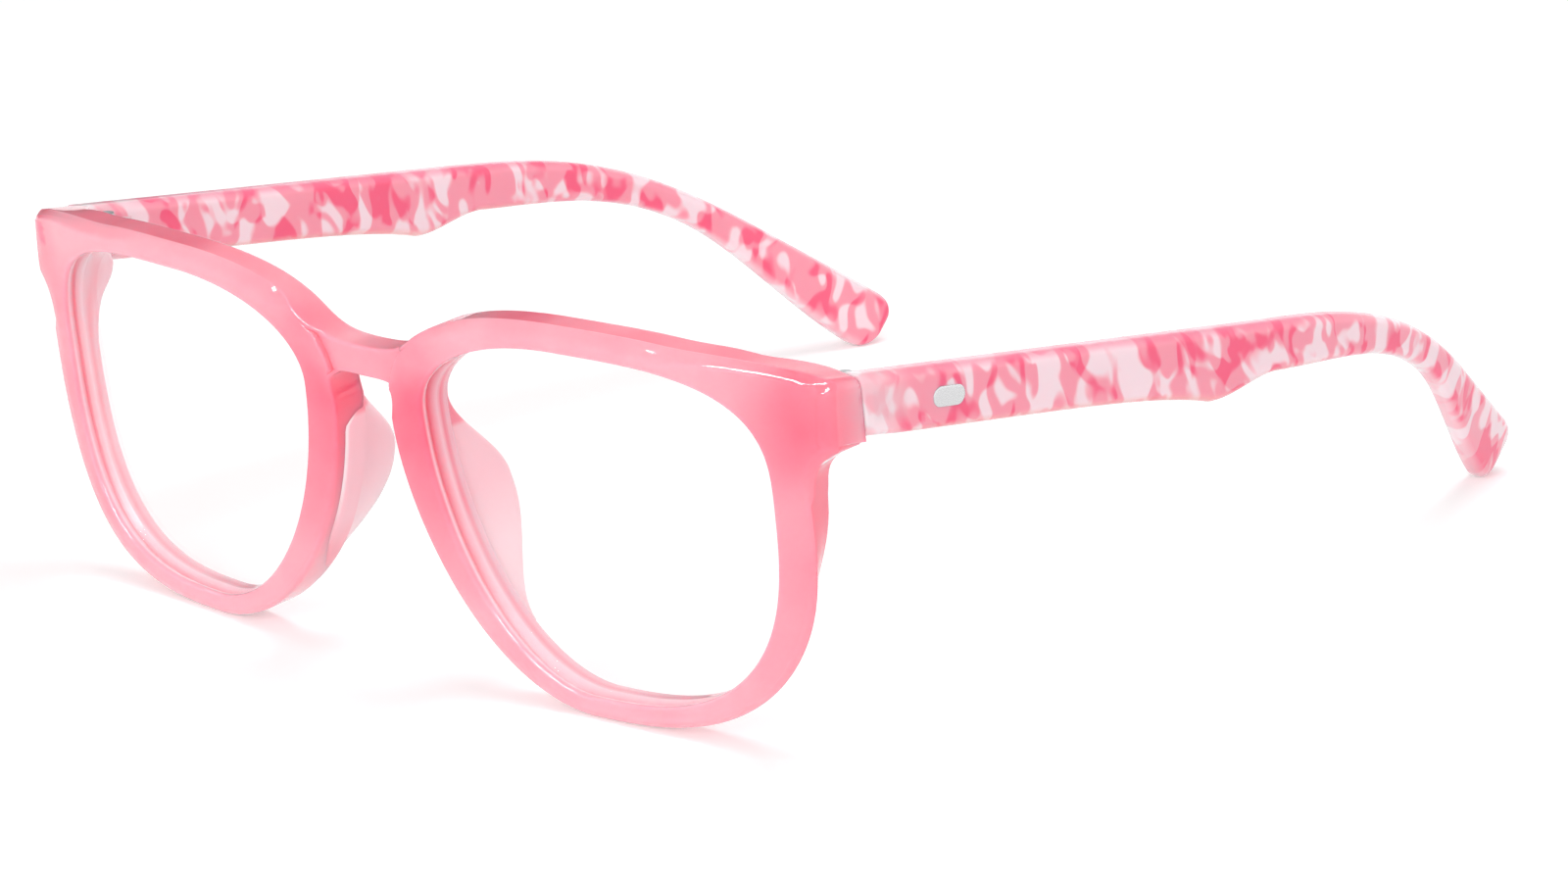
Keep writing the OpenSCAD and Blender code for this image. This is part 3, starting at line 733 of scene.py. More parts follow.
def front_values(sections, outer_n):
    """How deep the plastic looks at each point, with painted shade on the top faces and painted reflection on
    the end pieces' side walls, and where it is shaded, gleams or shows painted highlight streaks along its
    bore.
    """
    across, up = sections[:, :, 0], sections[:, :, 2]
    section_n = sections.shape[1]
    beside = (rim_width(RING_T) - RIM_LOW) / (RIM_NOSE - RIM_LOW)
    ends = ramp(across - OPEN_SIDE, ENDS_ACROSS) * ramp(up - END_LOW, ENDS_UP)
    depth_light_and_shade = mix(SHARE_BESIDE * beside[:, None] ** BESIDE_POWER + 0 * ends, SHARE_ENDS, ends)
    near_bridge = (1 - ramp(across, PALE_BRIDGE)) * ramp(up, PALE_BRIDGE_UP)
    on_wall = np.zeros(section_n)
    on_wall[ARC_STEPS - 1:outer_n - ARC_STEPS + 1] = 1
    flank = on_wall * ease(RING_TAPER / LEDGE_TAPER)[:, None]
    # Painted shade: the rim's top faces are made deeper, fading out towards the bridge
    beyond = ramp(RING_T, TOP_SHADE_T)[:, None]
    top = on_wall * ramp(RING_NORMAL[:, 1:], SHADED_TOP_FACING) * (1 - beyond)
    along_wall = np.zeros(section_n)
    along_wall[ARC_STEPS:ARC_STEPS + SIDE_STEPS + 1] = ease(np.arange(SIDE_STEPS + 1) / SIDE_STEPS)
    # Painted reflection: the side walls of the end pieces are made paler
    lit_end_side = along_wall * inside(RING_T, SIDE_T, SIDE_SOFT)[:, None] * (1 - top)
    depth_light_and_shade = depth_light_and_shade * (1 - PALE_BRIDGE_SHARE * near_bridge) * (1 - SIDE_LIGHT * lit_end_side)
    depth_light_and_shade = mix(depth_light_and_shade, 1.0, TOP_SHADE_SHARE * top)
    away = np.hypot(across - DEEP_SPOT[0], up - DEEP_SPOT[1]) / DEEP_SPOT_R
    deep = DEEP_SPOT_SHARE * np.exp(-away ** 2) * (1 - on_wall)
    # Painted highlight streaks: pale stripes along the bore, after a paler back inner edge
    bore = np.zeros(section_n)
    stripes_from = outer_n + BACK_STEPS - 1 + ARC_STEPS
    bore[stripes_from - ARC_STEPS:stripes_from] = BORE_EDGE
    bore[stripes_from:stripes_from + len(BORE_HIGHLIGHT_STRIPES)] = BORE_HIGHLIGHT_STRIPES
    groove = np.zeros(section_n)
    groove[stripes_from + BORE_STEPS - 1:stripes_from + BORE_STEPS + 2] = 1
    plate = inside(across, PLATE_ACROSS, PLATE_SOFT) * inside(up, PLATE_UP, PLATE_SOFT)
    gleam = on_wall * inside(RING_T, GLEAM_T, GLEAM_SOFT)[:, None] * (RING_TAPER > 0)[:, None]
    return {"depth_light_and_shade": depth_light_and_shade, "deep": deep, "plate": plate, "gleam": gleam, "flank": flank,
            "bore": bore + 0 * depth_light_and_shade, "groove": groove + 0 * depth_light_and_shade}


def make_front(material):
    sections, outer_n = front_sections()
    section_n = sections.shape[1]
    joined = (RING_JOIN > 0) & (np.roll(RING_JOIN, -1) > 0)
    faces = []
    for index, face in enumerate(loft(RING_N, section_n, wrap_rows=True)):
        station, place_in_section = divmod(index, section_n)
        if place_in_section >= outer_n - 1 or not joined[station]:
            faces.append(face)
    half = sections.reshape(-1, 3)
    points = np.concatenate([half, mirrored(half, -1)])
    values = {key: np.tile(grid.ravel(), 2) for key, grid in front_values(sections, outer_n).items()}
    # The hinge plate shows through on the wearer's right and the deep spot is on their left
    values["plate"][:len(half)] = 0
    values["deep"][len(half):] = 0
    values["depth_light_and_shade"] = values["depth_light_and_shade"] + values.pop("deep")
    other = [tuple(i + len(half) for i in reversed(face)) for face in faces]
    front = make_piece("front", points, faces + other, values)
    plate_h = 3 * KNUCKLE_H + 2 * HINGE_GAP
    low = np.array([AXIS[0] - PLATE_MARGIN[0], JOINT_Y - PLATE_T, AXIS[2] - plate_h / 2]) - POCKET_CLEAR
    high = np.array([HALF_W - PLATE_MARGIN[1], JOINT_Y + PLATE_T, AXIS[2] + plate_h / 2]) + POCKET_CLEAR
    for side in (1, -1):
        cut_pocket(front, mirrored(box_corners(low, high), side))
    finish_piece(front, "front_frame", "frame", material)


# Lenses

LENS_RINGS = 14
BEVEL_CLEAR = 1.5 * LENS_CLEAR
EDGE_CLEAR = 0.02


def make_lens(side, name, material):
    front = GROOVE_AT - LENS_T / 2
    back = GROOVE_AT + LENS_T / 2
    steps = shares(LENS_RINGS)
    flat = 0 * RING_T

    def ring_at(k, depth):
        edge = RING_INNER - INNER_NORMAL * EDGE_CLEAR
        return place(mix(LENS_MID, edge, k), depth - LENS_DOME * (1 - k * k) + flat)

    rows = [ring_at(k, front) for k in steps]
    rows.append(place(RING_INNER + INNER_NORMAL * (GROOVE_D - BEVEL_CLEAR), GROOVE_AT + flat))
    rows += [ring_at(k, back) for k in steps[::-1]]
    points = np.concatenate(rows)
    ends = [place(LENS_MID, depth - LENS_DOME) for depth in (front, back)]
    n = len(points)
    last = n - RING_N
    faces = loft(len(rows), RING_N)
    faces += [(n, (i + 1) % RING_N, i) for i in range(RING_N)]
    faces += [(n + 1, last + i, last + (i + 1) % RING_N) for i in range(RING_N)]
    lens = make_piece(name + "_clear", mirrored(np.concatenate([points, ends]), side), faces, {})
    finish_piece(lens, name, "frame", material)


# Nose pads. The crest's points are shares of the ridge, from its end, and of the height. The lip's
# points are shares of the way out or back in, and how much further back each one is.

PAD_STEPS = 5
PAD_CREST = ((0.6, 1), (0.2, 0.97), (0, 0.85), (0, 0.4), (0, 0))
STUB_T = 187
STUB_SOFT = 0.6
MERGE_T = (209, 225)
LIP_FROM = 1.7
LIP_T = 0.28
LIP_ROOT = 0.1
LIP_RUN = 5.0
LIP_END = (214, 236)
LIP_RISE = ((0, -0.2), (0.75, 0.1), (1, 0.4))
LIP_FLAT = (0.33, 0.67, 1)
LIP_SHORT = 0.6
LIP_FALL = ((0.15, -0.1), (0.5, PAD_GAP))
LIP_ROWS = len(LIP_RISE) + len(LIP_FLAT) + len(LIP_FALL)
HIGHLIT_LIP_ROWS = 2
FIN_PALE = 0.7
FIN_T = (196, 220)
LIP_HIGHLIGHT_T = (203, 214)


def pad_height(t):
    up = ramp(t, (PAD_RISE_T, PAD_PEAK[0]))
    down = 1 - ramp(t, (PAD_PEAK[1], PAD_SPAN[1]))
    return mix(PAD_END, PAD_D, up * down)


def pad_lip(wall, way, share):
    """Section of the pad's thin lip along the rim's side, from its front edge back to the fin."""
    out = LIP_ROOT * (share - 1) + LIP_T * share
    reach = mix(RIM_D - BACK_R, LIP_FROM, share)
    steps = [(mix(-LIP_ROOT, out, k), reach + further) for k, further in LIP_RISE]
    steps += [(out, mix(steps[-1][1], RIM_D - LIP_SHORT, k)) for k in LIP_FLAT]
    steps += [(mix(out, -LIP_ROOT, k), RIM_D + further) for k, further in LIP_FALL]
    return np.array([place(wall + way * offset, depth) for offset, depth in steps])


def pad_values(t, section_n):
    """Where the pad shows its stub at the top, its merging lower end, the pale front edge of its lip, which
    is a painted highlight, and its pale fin.
    """
    t = t[:, None]
    stub = 1 - ease((t - STUB_T) / STUB_SOFT + 0.5) + np.zeros(section_n)
    merge = 0 * stub
    merge[:, :LIP_ROWS] = ramp(t, MERGE_T)
    # Painted highlight: the front rows of the lip are made paler; the fin turns paler towards its lower end
    lip_highlight_and_pale_fin = 0 * stub
    lip_highlight_and_pale_fin[:, :HIGHLIT_LIP_ROWS] = 1 - ramp(t, LIP_HIGHLIGHT_T)
    lip_highlight_and_pale_fin[:, LIP_ROWS:] = FIN_PALE * ramp(t, FIN_T)
    return {"stub": stub.ravel(), "merge": merge.ravel(), "lip_highlight_and_pale_fin": lip_highlight_and_pale_fin.ravel()}


def make_pad(side, name, material):
    chosen = (RING_T > PAD_SPAN[0]) & (RING_T < PAD_SPAN[1]) & (RING_JOIN == 0)
    t = RING_T[chosen]
    outer = RING_OUTER[chosen] - RING_NORMAL[chosen] * PAD_MARGIN
    inner = RING_INNER[chosen] + INNER_NORMAL[chosen] * PAD_MARGIN
    height = pad_height(t)
    lip = ease((t - STUB_T) / LIP_RUN + 0.5) * (1 - ramp(t, LIP_END))
    rows = []
    walls = zip(RING_OUTER[chosen], RING_NORMAL[chosen], lip)
    for a, b, h, (wall, way, share) in zip(outer, inner, height, walls):
        run = np.linalg.norm(b - a)
        ridge = min(PAD_T, PAD_RIDGE * run) / run
        flank = [(u * (1 - ridge), w) for u, w in PAD_OUTLINE]
        crest = [(1 - k * ridge, w) for k, w in PAD_CREST]
        line = through(np.array(flank + crest), PAD_STEPS)
        fin = place(mix(a, b, line[:, :1]), RIM_D + PAD_GAP + h * line[:, 1])
        rows.append(np.concatenate([pad_lip(wall, way, share), fin]))
    section_n = len(rows[0])
    points = mirrored(np.concatenate(rows), side)
    faces = closed_loft(len(rows), section_n)
    pad = make_piece(name + "_soft", points, faces, pad_values(t, section_n))
    finish_piece(pad, name, "frame", material)


# Temples

BAR_STEPS = 220
CAP_STEPS = 18
CAP_TURN = 89
CORNER_POINTS = 7
FLAT_POINTS = (3, 10)
ROOT_ROUND = 0.3
ROOT_SHARES = (0, 0.1, 0.4, 1)
FLOW_APART = 60
EDGE_FROM = 0.72
EDGE_SPAN = (10, 84)
EDGE_SOFT = 12
PALE_FROM = 88
LEAF_SOFT = 1.2


def bar_angle(s):
    return TEMPLE_DROP + EAR_BEND * ramp(s, (BEND_FROM, BEND_TO))


def bar_height(s):
    behind = STEP_AT + STEP_RUN
    swelling = mix(TEMPLE_H, STEP_H, np.clip(s / STEP_AT, 0, 1) ** STEP_SWELL)
    stepping = mix(STEP_H, NECK_H, ramp(s, (STEP_AT, behind)))
    thinning = mix(NECK_H, EAR_H, ramp(s, (behind, EAR_AT)))
    widening = mix(EAR_H, TIP_H, ramp(s, (EAR_AT, TEMPLE_LEN)))
    return np.select([s < STEP_AT, s < behind, s < EAR_AT], [swelling, stepping, thinning], widening)


def bar_outside(s):
    bent = np.clip(s - CURL_FROM, 0, CURL_RUN)
    straight = np.maximum(0, s - CURL_FROM - CURL_RUN)
    return HALF_W + math.tan(math.radians(TEMPLE_SPLAY)) * s - TIP_IN * bent * (bent + 2 * straight)


def rounded(width, height):
    """Rounded rectangles about their middles, one row of points for each width and height."""
    radius = np.minimum(TEMPLE_R, np.minimum(width, height) * FULL_ROUND)
    signs = ((1, 1), (-1, 1), (-1, -1), (1, -1))
    corners = []
    for quarter, (across, up) in enumerate(signs):
        turn = np.radians(90 * quarter) + np.linspace(0, np.pi / 2, CORNER_POINTS)
        middle = np.stack([across * (width / 2 - radius), up * (height / 2 - radius)], -1)
        round_part = np.stack([np.cos(turn), np.sin(turn)], -1)
        corners.append(middle[:, None] + radius[:, None, None] * round_part)
    rows = []
    for quarter in range(4):
        corner = corners[quarter]
        following = corners[(quarter + 1) % 4]
        share = shares(FLAT_POINTS[quarter % 2])[:-1]
        flat = mix(corner[:, -1:], following[:, :1], share[:, None])
        rows += [corner, flat]
    return np.concatenate(rows, 1)


def bar_stations():
    """Distances along a temple, closer together where its root and its tip are rounded."""
    body = (TEMPLE_LEN - CAP_LEN) * shares(BAR_STEPS)
    cap_turn = np.radians(CAP_TURN * shares(CAP_STEPS))
    cap = TEMPLE_LEN - CAP_LEN + CAP_LEN * np.sin(cap_turn)
    return np.concatenate([ROOT_ROUND * np.array(ROOT_SHARES), body, cap])


def bar_values(s, height, flow):
    """The points' places along, up and through the bar, and where its edges and the hinge leaf show."""
    height_share = flow[:, :, 1] / (height / 2)[:, None]
    rim = ramp(np.abs(height_share), (EDGE_FROM, 1))
    middle = inside(s, EDGE_SPAN, EDGE_SOFT)[:, None]
    behind = ease((s - PALE_FROM) / EDGE_SOFT)[:, None]
    leaf = inside(flow[:, :, 0], (LEAF_AT, LEAF_AT + LEAF_LEN), LEAF_SOFT)
    leaf = leaf * inside(flow[:, :, 1], (-LEAF_H / 2, LEAF_H / 2), LEAF_SOFT)
    grids = {"along": flow[:, :, 0], "leaf": leaf, "top_edge": rim * middle * (height_share > 0),
             "low_edge": rim * middle * (height_share < 0), "pale_edge": rim * behind}
    return {"flow": flow.reshape(-1, 3), **{key: grid.ravel() for key, grid in grids.items()}}


def bar_sections():
    """Points of a temple, section by section, and their values."""
    s = bar_stations()
    turn = np.radians(bar_angle((s[1:] + s[:-1]) / 2))
    moves = np.diff(s)[:, None] * np.stack([np.cos(turn), -np.sin(turn)], 1)
    path = np.array([JOINT_Y + HINGE_GAP, JOINT_TOP]) + np.concatenate([[[0, 0]], np.cumsum(moves, 0)])
    height = bar_height(s)
    width = mix(TEMPLE_T, TIP_T, s / TEMPLE_LEN)
    shrink = (1 - np.clip((s - TEMPLE_LEN + CAP_LEN) / CAP_LEN, 0, 1) ** CAP_POWER) ** (1 / CAP_POWER)
    inset = 2 * ROOT_ROUND * (1 - np.sqrt(1 - np.clip(1 - s / ROOT_ROUND, 0, 1) ** 2))
    slanted = TIP_SLANT * ramp(s, (TEMPLE_LEN - TIP_RUN, TEMPLE_LEN))
    lean = np.radians(bar_angle(s) * ease(s / ROOT_TURN) - slanted)
    shape = rounded(width * mix(CAP_EDGE, 1, shrink) - inset, height * shrink - inset)
    up = shape[:, :, 1] - (height / 2 * (1 - TIP_RISE * (1 - shrink)))[:, None]
    across = (bar_outside(s) - width / 2)[:, None] + shape[:, :, 0]
    depth = path[:, :1] + up * np.sin(lean)[:, None]
    rise = path[:, 1:] + up * np.cos(lean)[:, None]
    flow = np.stack([s[:, None] + 0 * up, up + (height / 2)[:, None], shape[:, :, 0]], -1)
    return np.stack([across, depth, rise], -1), bar_values(s, height, flow)


def temple_frame(origin):
    """Matrix of a frame on the temple, with x out of it and y along it, from a point at the hinge."""
    drop = Matrix.Rotation(math.radians(-TEMPLE_DROP), 4, "X")
    splay = Matrix.Rotation(math.radians(-TEMPLE_SPLAY), 4, "Z")
    return Matrix.Translation(origin) @ drop @ splay


LEAF_FRAME = temple_frame((INNER_X, JOINT_Y + HINGE_GAP, AXIS[2]))
INLAY_FRAME = temple_frame((HALF_W, JOINT_Y + HINGE_GAP, JOINT_TOP - TEMPLE_H / 2))


def make_temple(side, name, body, material):
    sections, values = bar_sections()
    faces = closed_loft(*sections.shape[:2])
    values["flow"] = values["flow"] * [1, 1, side] + [FLOW_APART * side, 0, 0]
    temple = make_piece(name + "_bar", mirrored(sections.reshape(-1, 3), side), faces, values)
    low = np.array([-PLATE_T, LEAF_AT - POCKET_CLEAR, -LEAF_H / 2 - POCKET_CLEAR])
    high = np.array([PLATE_T + POCKET_CLEAR, LEAF_AT + LEAF_LEN + POCKET_CLEAR, LEAF_H / 2 + POCKET_CLEAR])
    cut_pocket(temple, mirrored(moved(box_corners(low, high), LEAF_FRAME), side))
    finish_piece(temple, name, body, material)


# Inlays: a plain plate with round ends and a bevelled edge

INLAY_TURN_STEPS = 20
INLAY_BEVEL_STEPS = 6
INLAY_DOME = 0.06
INLAY_DOME_AT = 0.6


def make_inlay(side, name, body, material):
    turn = np.linspace(-np.pi / 2, np.pi / 2, INLAY_TURN_STEPS)
    end = (INLAY_LEN - INLAY_H) / 2
    bevel = np.linspace(0, np.pi / 2, INLAY_BEVEL_STEPS)[1:]
    profile = [(0, -INLAY_T), (0, INLAY_PROUD - INLAY_BEVEL)]
    profile += [(INLAY_BEVEL * (1 - np.cos(a)), INLAY_PROUD - INLAY_BEVEL * (1 - np.sin(a))) for a in bevel]
    profile += [(INLAY_DOME_AT * INLAY_H / 2, INLAY_PROUD + INLAY_DOME)]
    rows = []
    for inset, out in profile:
        radius = INLAY_H / 2 - inset
        along = np.concatenate([end + radius * np.cos(turn), -end - radius * np.cos(turn)])
        up = np.concatenate([radius * np.sin(turn), -radius * np.sin(turn)])
        rows.append(np.stack([out + 0 * along, INLAY_AT + along, up], -1))
    faces = closed_loft(len(rows), len(rows[0]))
    points = moved(np.concatenate(rows), INLAY_FRAME)
    inlay = make_piece(name + "_plate", mirrored(points, side), faces, {})
    finish_piece(inlay, name, body, material)


# Materials


def new_material(name):
    material = bpy.data.materials.new(name)
    material.use_nodes = True
    material.node_tree.nodes.clear()
    return material, material.node_tree


def show(tree, shader, output="ShaderNodeOutputMaterial"):
    tree.links.new(shader.outputs[0], tree.nodes.new(output).inputs["Surface"])


def feed(tree, socket, value):
    """Links a socket to another's output, or sets it to a plain value."""
    if isinstance(value, bpy.types.NodeSocket):
        tree.links.new(value, socket)
    else:
        socket.default_value = value


def node(tree, kind, settings=None, **inputs):
    made = tree.nodes.new(kind)
    for name, value in (settings or {}).items():
        setattr(made, name, value)
    for name, value in inputs.items():
        feed(tree, made.inputs[name.replace("_", " ")], value)
    return made


def attribute(tree, name, output="Fac"):
    return node(tree, "ShaderNodeAttribute", {"attribute_name": name}).outputs[output]


def part_of(tree, name, share):
    """A share of one of the mesh's values."""
    return calculate(tree, "MULTIPLY", attribute(tree, name), share)


def noise(tree, vector, scale, detail=2.0, distortion=0.0):
    made = node(tree, "ShaderNodeTexNoise", Vector=vector, Scale=scale, Detail=detail, Distortion=distortion)
    return made.outputs["Fac"]


def between(tree, value, low, high, to_low=0.0, to_high=1.0, kind="SMOOTHSTEP"):
    """A value's place between two others, as a number from to_low to to_high."""
    made = node(tree, "ShaderNodeMapRange", {"interpolation_type": kind})
    for name, number in zip(("From Min", "From Max", "To Min", "To Max"), (low, high, to_low, to_high)):
        made.inputs[name].default_value = number
    tree.links.new(value, made.inputs["Value"])
    return made.outputs["Result"]


def calculate(tree, operation, first, second):
    made = node(tree, "ShaderNodeMath", {"operation": operation})
    feed(tree, made.inputs[0], first)
    feed(tree, made.inputs[1], second)
    return made.outputs[0]


def colour_mix(tree, share, first, second):
    made = node(tree, "ShaderNodeMix", {"data_type": "RGBA"})
    feed(tree, made.inputs["Factor"], share)
    feed(tree, made.inputs[6], first)
    feed(tree, made.inputs[7], second)
    return made.outputs[2]


def painted(tree, colour, paints):
    """A colour with paints laid over it, each by one of the mesh's values, a share and a colour."""
    for name, share, paint in paints:
        colour = colour_mix(tree, part_of(tree, name, share), colour, paint)
    return colour


def shader_mix(tree, share, first, second):
    made = node(tree, "ShaderNodeMixShader", Fac=share)
    tree.links.new(first.outputs[0], made.inputs[1])
    tree.links.new(second.outputs[0], made.inputs[2])
    return made


def bump(tree, height, distance):
    return node(tree, "ShaderNodeBump", Height=height, Distance=distance, Strength=1.0).outputs["Normal"]


def spot(tree):
    """Where a point is on the object, in metres."""
    return node(tree, "ShaderNodeTexCoord").outputs["Object"]


MIDDLE_NOISE = (0.3, 0.7)
HANDLED_SCALE = 180.0
WAVE_SCALE = 260.0
WAVE_H = 0.00004


def moulded(tree, colour, index, milky, radius, depth, gloss, dull=0.0):
    """Milky plastic with roughness that varies a little and a faint waviness, as moulded and tumbled."""
    handled = between(tree, noise(tree, spot(tree), HANDLED_SCALE, 4.0), *MIDDLE_NOISE, *gloss)
    shader = node(tree, "ShaderNodeBsdfPrincipled", IOR=index, Base_Color=colour, Subsurface_Weight=milky,
                  Subsurface_Radius=radius, Subsurface_Scale=depth,
                  Roughness=calculate(tree, "ADD", handled, dull),
                  Normal=bump(tree, noise(tree, spot(tree), WAVE_SCALE, 1.0), WAVE_H))
    show(tree, shader)


PALE_JELLY = (1.0, 0.41, 0.48, 1)
DEEP_JELLY = (1.0, 0.13, 0.22, 1)
# Paints over the pink: the hinge plate seen through, the rim's flank, a painted gleam at the ledge and
# painted highlight streaks along the bore
JELLY_PAINTS = (("plate", 1.0, (1.0, 0.13, 0.25, 1)),
                ("flank", 0.5, (0.98, 0.12, 0.20, 1)),
                ("gleam", 1.0, (1.0, 0.90, 0.92, 1)),
                ("bore", 0.7, (1.0, 0.72, 0.77, 1)))
CLOUD_SCALE = 70.0
CLOUD_SHARES = (-0.15, 0.15)
GROOVE_ROUGH = 0.4
JELLY_RADIUS = (1.0, 0.45, 0.5)


def jelly():
    material, tree = new_material("jelly_plastic")
    cloud = between(tree, noise(tree, spot(tree), CLOUD_SCALE), *MIDDLE_NOISE, *CLOUD_SHARES, "LINEAR")
    # The depth value also carries painted shade on the top faces and painted reflection on the end pieces'
    # side walls
    deep = calculate(tree, "ADD", attribute(tree, "depth_light_and_shade"), cloud)
    colour = painted(tree, colour_mix(tree, deep, PALE_JELLY, DEEP_JELLY), JELLY_PAINTS)
    moulded(tree, colour, index=1.5, milky=1.0, radius=JELLY_RADIUS, depth=0.0022,
            gloss=(0.02, 0.05), dull=part_of(tree, "groove", GROOVE_ROUGH))
    return material


PAD_PINK = (1.0, 0.59, 0.65, 1)
# The first pad paint is a painted highlight along the lip's front edge, and it also pales the fin's lower end
PAD_PAINTS = (("lip_highlight_and_pale_fin", 1.0, (1.0, 0.78, 0.81, 1)),
              ("merge", 1.0, (1.0, 0.36, 0.43, 1)),
              ("stub", 1.0, (1.0, 0.30, 0.38, 1)))


def pad_plastic():
    material, tree = new_material("pad_plastic")
    colour = painted(tree, PAD_PINK, PAD_PAINTS)
    moulded(tree, colour, index=1.45, milky=0.4, radius=JELLY_RADIUS, depth=0.0004,
            gloss=(0.15, 0.25))
    return material


TEMPLE_PALE = (1.0, 0.70, 0.75, 1)
TEMPLE_MID = (1.0, 0.33, 0.42, 1)
TEMPLE_DEEP = (1.0, 0.12, 0.24, 1)
TEMPLE_CLEAR = (0.86, 0.77, 0.80, 1)
TEMPLE_PAINTS = (("leaf", 0.25, (0.62, 0.50, 0.54, 1)),
                 ("top_edge", 0.65, (0.95, 0.25, 0.38, 1)),
                 ("low_edge", 0.65, (1.0, 0.42, 0.38, 1)),
                 ("pale_edge", 0.45, (1.0, 0.82, 0.85, 1)))
TEMPLE_RADIUS = (1.0, 0.7, 0.75)
CLEAR_SPAN = (9.0, 3.0)
CLEAR_SHARE = 0.5
FLAKE_SIZE = (4.0, 6.6, 6.0)
FLAKE_WARP = 0.6
FLAKE_EDGE = 0.09


def flakes(tree, offset, slant, threshold):
    """Soft-edged slanted patches, 0 or 1, laid out along the temple."""
    flow = attribute(tree, "flow", "Vector")
    laid = node(tree, "ShaderNodeMapping", {"vector_type": "TEXTURE"}, Vector=flow, Location=offset,
                Rotation=(0, 0, math.radians(slant)), Scale=FLAKE_SIZE).outputs["Vector"]
    return between(tree, noise(tree, laid, 1.0, 1.0, FLAKE_WARP), threshold, threshold + FLAKE_EDGE)


def tortoise():
    material, tree = new_material("tortoise_plastic")
    first = flakes(tree, offset=(3.1, 0.4, 0.2), slant=28, threshold=0.46)
    second = flakes(tree, offset=(11.7, 5.2, 3.3), slant=22, threshold=0.50)
    under = colour_mix(tree, first, TEMPLE_PALE, TEMPLE_MID)
    over = colour_mix(tree, first, TEMPLE_MID, TEMPLE_DEEP)
    colour = colour_mix(tree, second, under, over)
    cleared = between(tree, attribute(tree, "along"), *CLEAR_SPAN, 0.0, CLEAR_SHARE)
    colour = painted(tree, colour_mix(tree, cleared, colour, TEMPLE_CLEAR), TEMPLE_PAINTS)
    moulded(tree, colour, index=1.5, milky=1.0, radius=TEMPLE_RADIUS, depth=0.0008,
            gloss=(0.04, 0.09))
    return material


LENS_TINT = (0.99, 0.985, 0.985, 1)
LENS_GLANCE = (0.0, 0.7)
SLANT_POWER = 4.0
WIPED_SCALE = 60.0
WIPED_NOISE = (0.35, 0.75)
WIPED_GLOSS = (0.01, 0.05)
WHITE = (1, 1, 1, 1)


def clear():
    """A pane that lets light and sight straight through and mirrors more at a slant."""
    material, tree = new_material("lens_plastic")
    see = node(tree, "ShaderNodeBsdfTransparent", Color=LENS_TINT)
    wiped = between(tree, noise(tree, spot(tree), WIPED_SCALE, 3.0), *WIPED_NOISE, *WIPED_GLOSS)
    shine = node(tree, "ShaderNodeBsdfPrincipled", Base_Color=WHITE, Metallic=1.0, Roughness=wiped)
    slant = node(tree, "ShaderNodeLayerWeight", Blend=0.5).outputs["Facing"]
    share = between(tree, calculate(tree, "POWER", slant, SLANT_POWER), 0.0, 1.0, *LENS_GLANCE, "LINEAR")
    show(tree, shader_mix(tree, share, see, shine))
    return material


BRUSH_SCALE = (400, 9000, 9000)
BRUSH_DARK = 0.82
BRUSH_H = 0.000004


def metal(name, shade, gloss):
    """Steel with fine brushing along one way."""
    material, tree = new_material(name)
    brushed = node(tree, "ShaderNodeMapping", Vector=spot(tree), Scale=BRUSH_SCALE).outputs["Vector"]
    lines = noise(tree, brushed, 1.0, 3.0)
    dark = tuple(BRUSH_DARK * c for c in shade)
    shader = node(tree, "ShaderNodeBsdfPrincipled", Metallic=1.0,
                  Base_Color=colour_mix(tree, lines, (*dark, 1), (*shade, 1)),
                  Roughness=between(tree, lines, *MIDDLE_NOISE, *gloss),
                  Normal=bump(tree, lines, BRUSH_H))
    show(tree, shader)
    return material


# Stage

FLOOR_HALF = 4.0
FLOOR_MATTE = (0.8, 0.8, 0.8, 1)
FLOOR_BOUNCE = (0.9, 0.9, 0.9, 1)
FLOOR_GLOW = 0.31
FLOOR_WHITE = (0.25, 0.6)
SOFT_RISE = (0.1, 0.8)
SOFT_LEVELS = (1.35, 0.45)
DARK_WAY = (-0.97, 0.20, 0.15)
DARK_SPAN = (0.84, 0.885)
DARK_SHARE = 0.9


def floor():
    """A white table: lit near the object, plain white far off and in reflections."""
    mesh = bpy.data.meshes.new("floor")
    corners = [(-1, -1), (1, -1), (1, 1), (-1, 1)]
    mesh.from_pydata([(x * FLOOR_HALF, y * FLOOR_HALF, 0) for x, y in corners], [], [(0, 1, 2, 3)])
    made = bpy.data.objects.new("floor", mesh)
    bpy.context.scene.collection.objects.link(made)
    material, tree = new_material("white_floor")
    path = node(tree, "ShaderNodeLightPath")
    seen = calculate(tree, "MAXIMUM", path.outputs["Is Glossy Ray"], path.outputs["Is Transmission Ray"])
    bounce = node(tree, "ShaderNodeBsdfDiffuse", Color=FLOOR_BOUNCE)
    matte = node(tree, "ShaderNodeBsdfDiffuse", Color=FLOOR_MATTE)
    glow = node(tree, "ShaderNodeEmission", Strength=FLOOR_GLOW)
    lifted = node(tree, "ShaderNodeAddShader")
    tree.links.new(matte.outputs[0], lifted.inputs[0])
    tree.links.new(glow.outputs[0], lifted.inputs[1])
    white = node(tree, "ShaderNodeEmission", Strength=1.0)
    away = node(tree, "ShaderNodeVectorMath", {"operation": "LENGTH"})
    tree.links.new(spot(tree), away.inputs[0])
    faded = shader_mix(tree, between(tree, away.outputs["Value"], *FLOOR_WHITE), lifted, white)
    by_camera = shader_mix(tree, path.outputs["Is Camera Ray"], bounce, faded)
    show(tree, shader_mix(tree, seen, by_camera, white))
    mesh.materials.append(material)


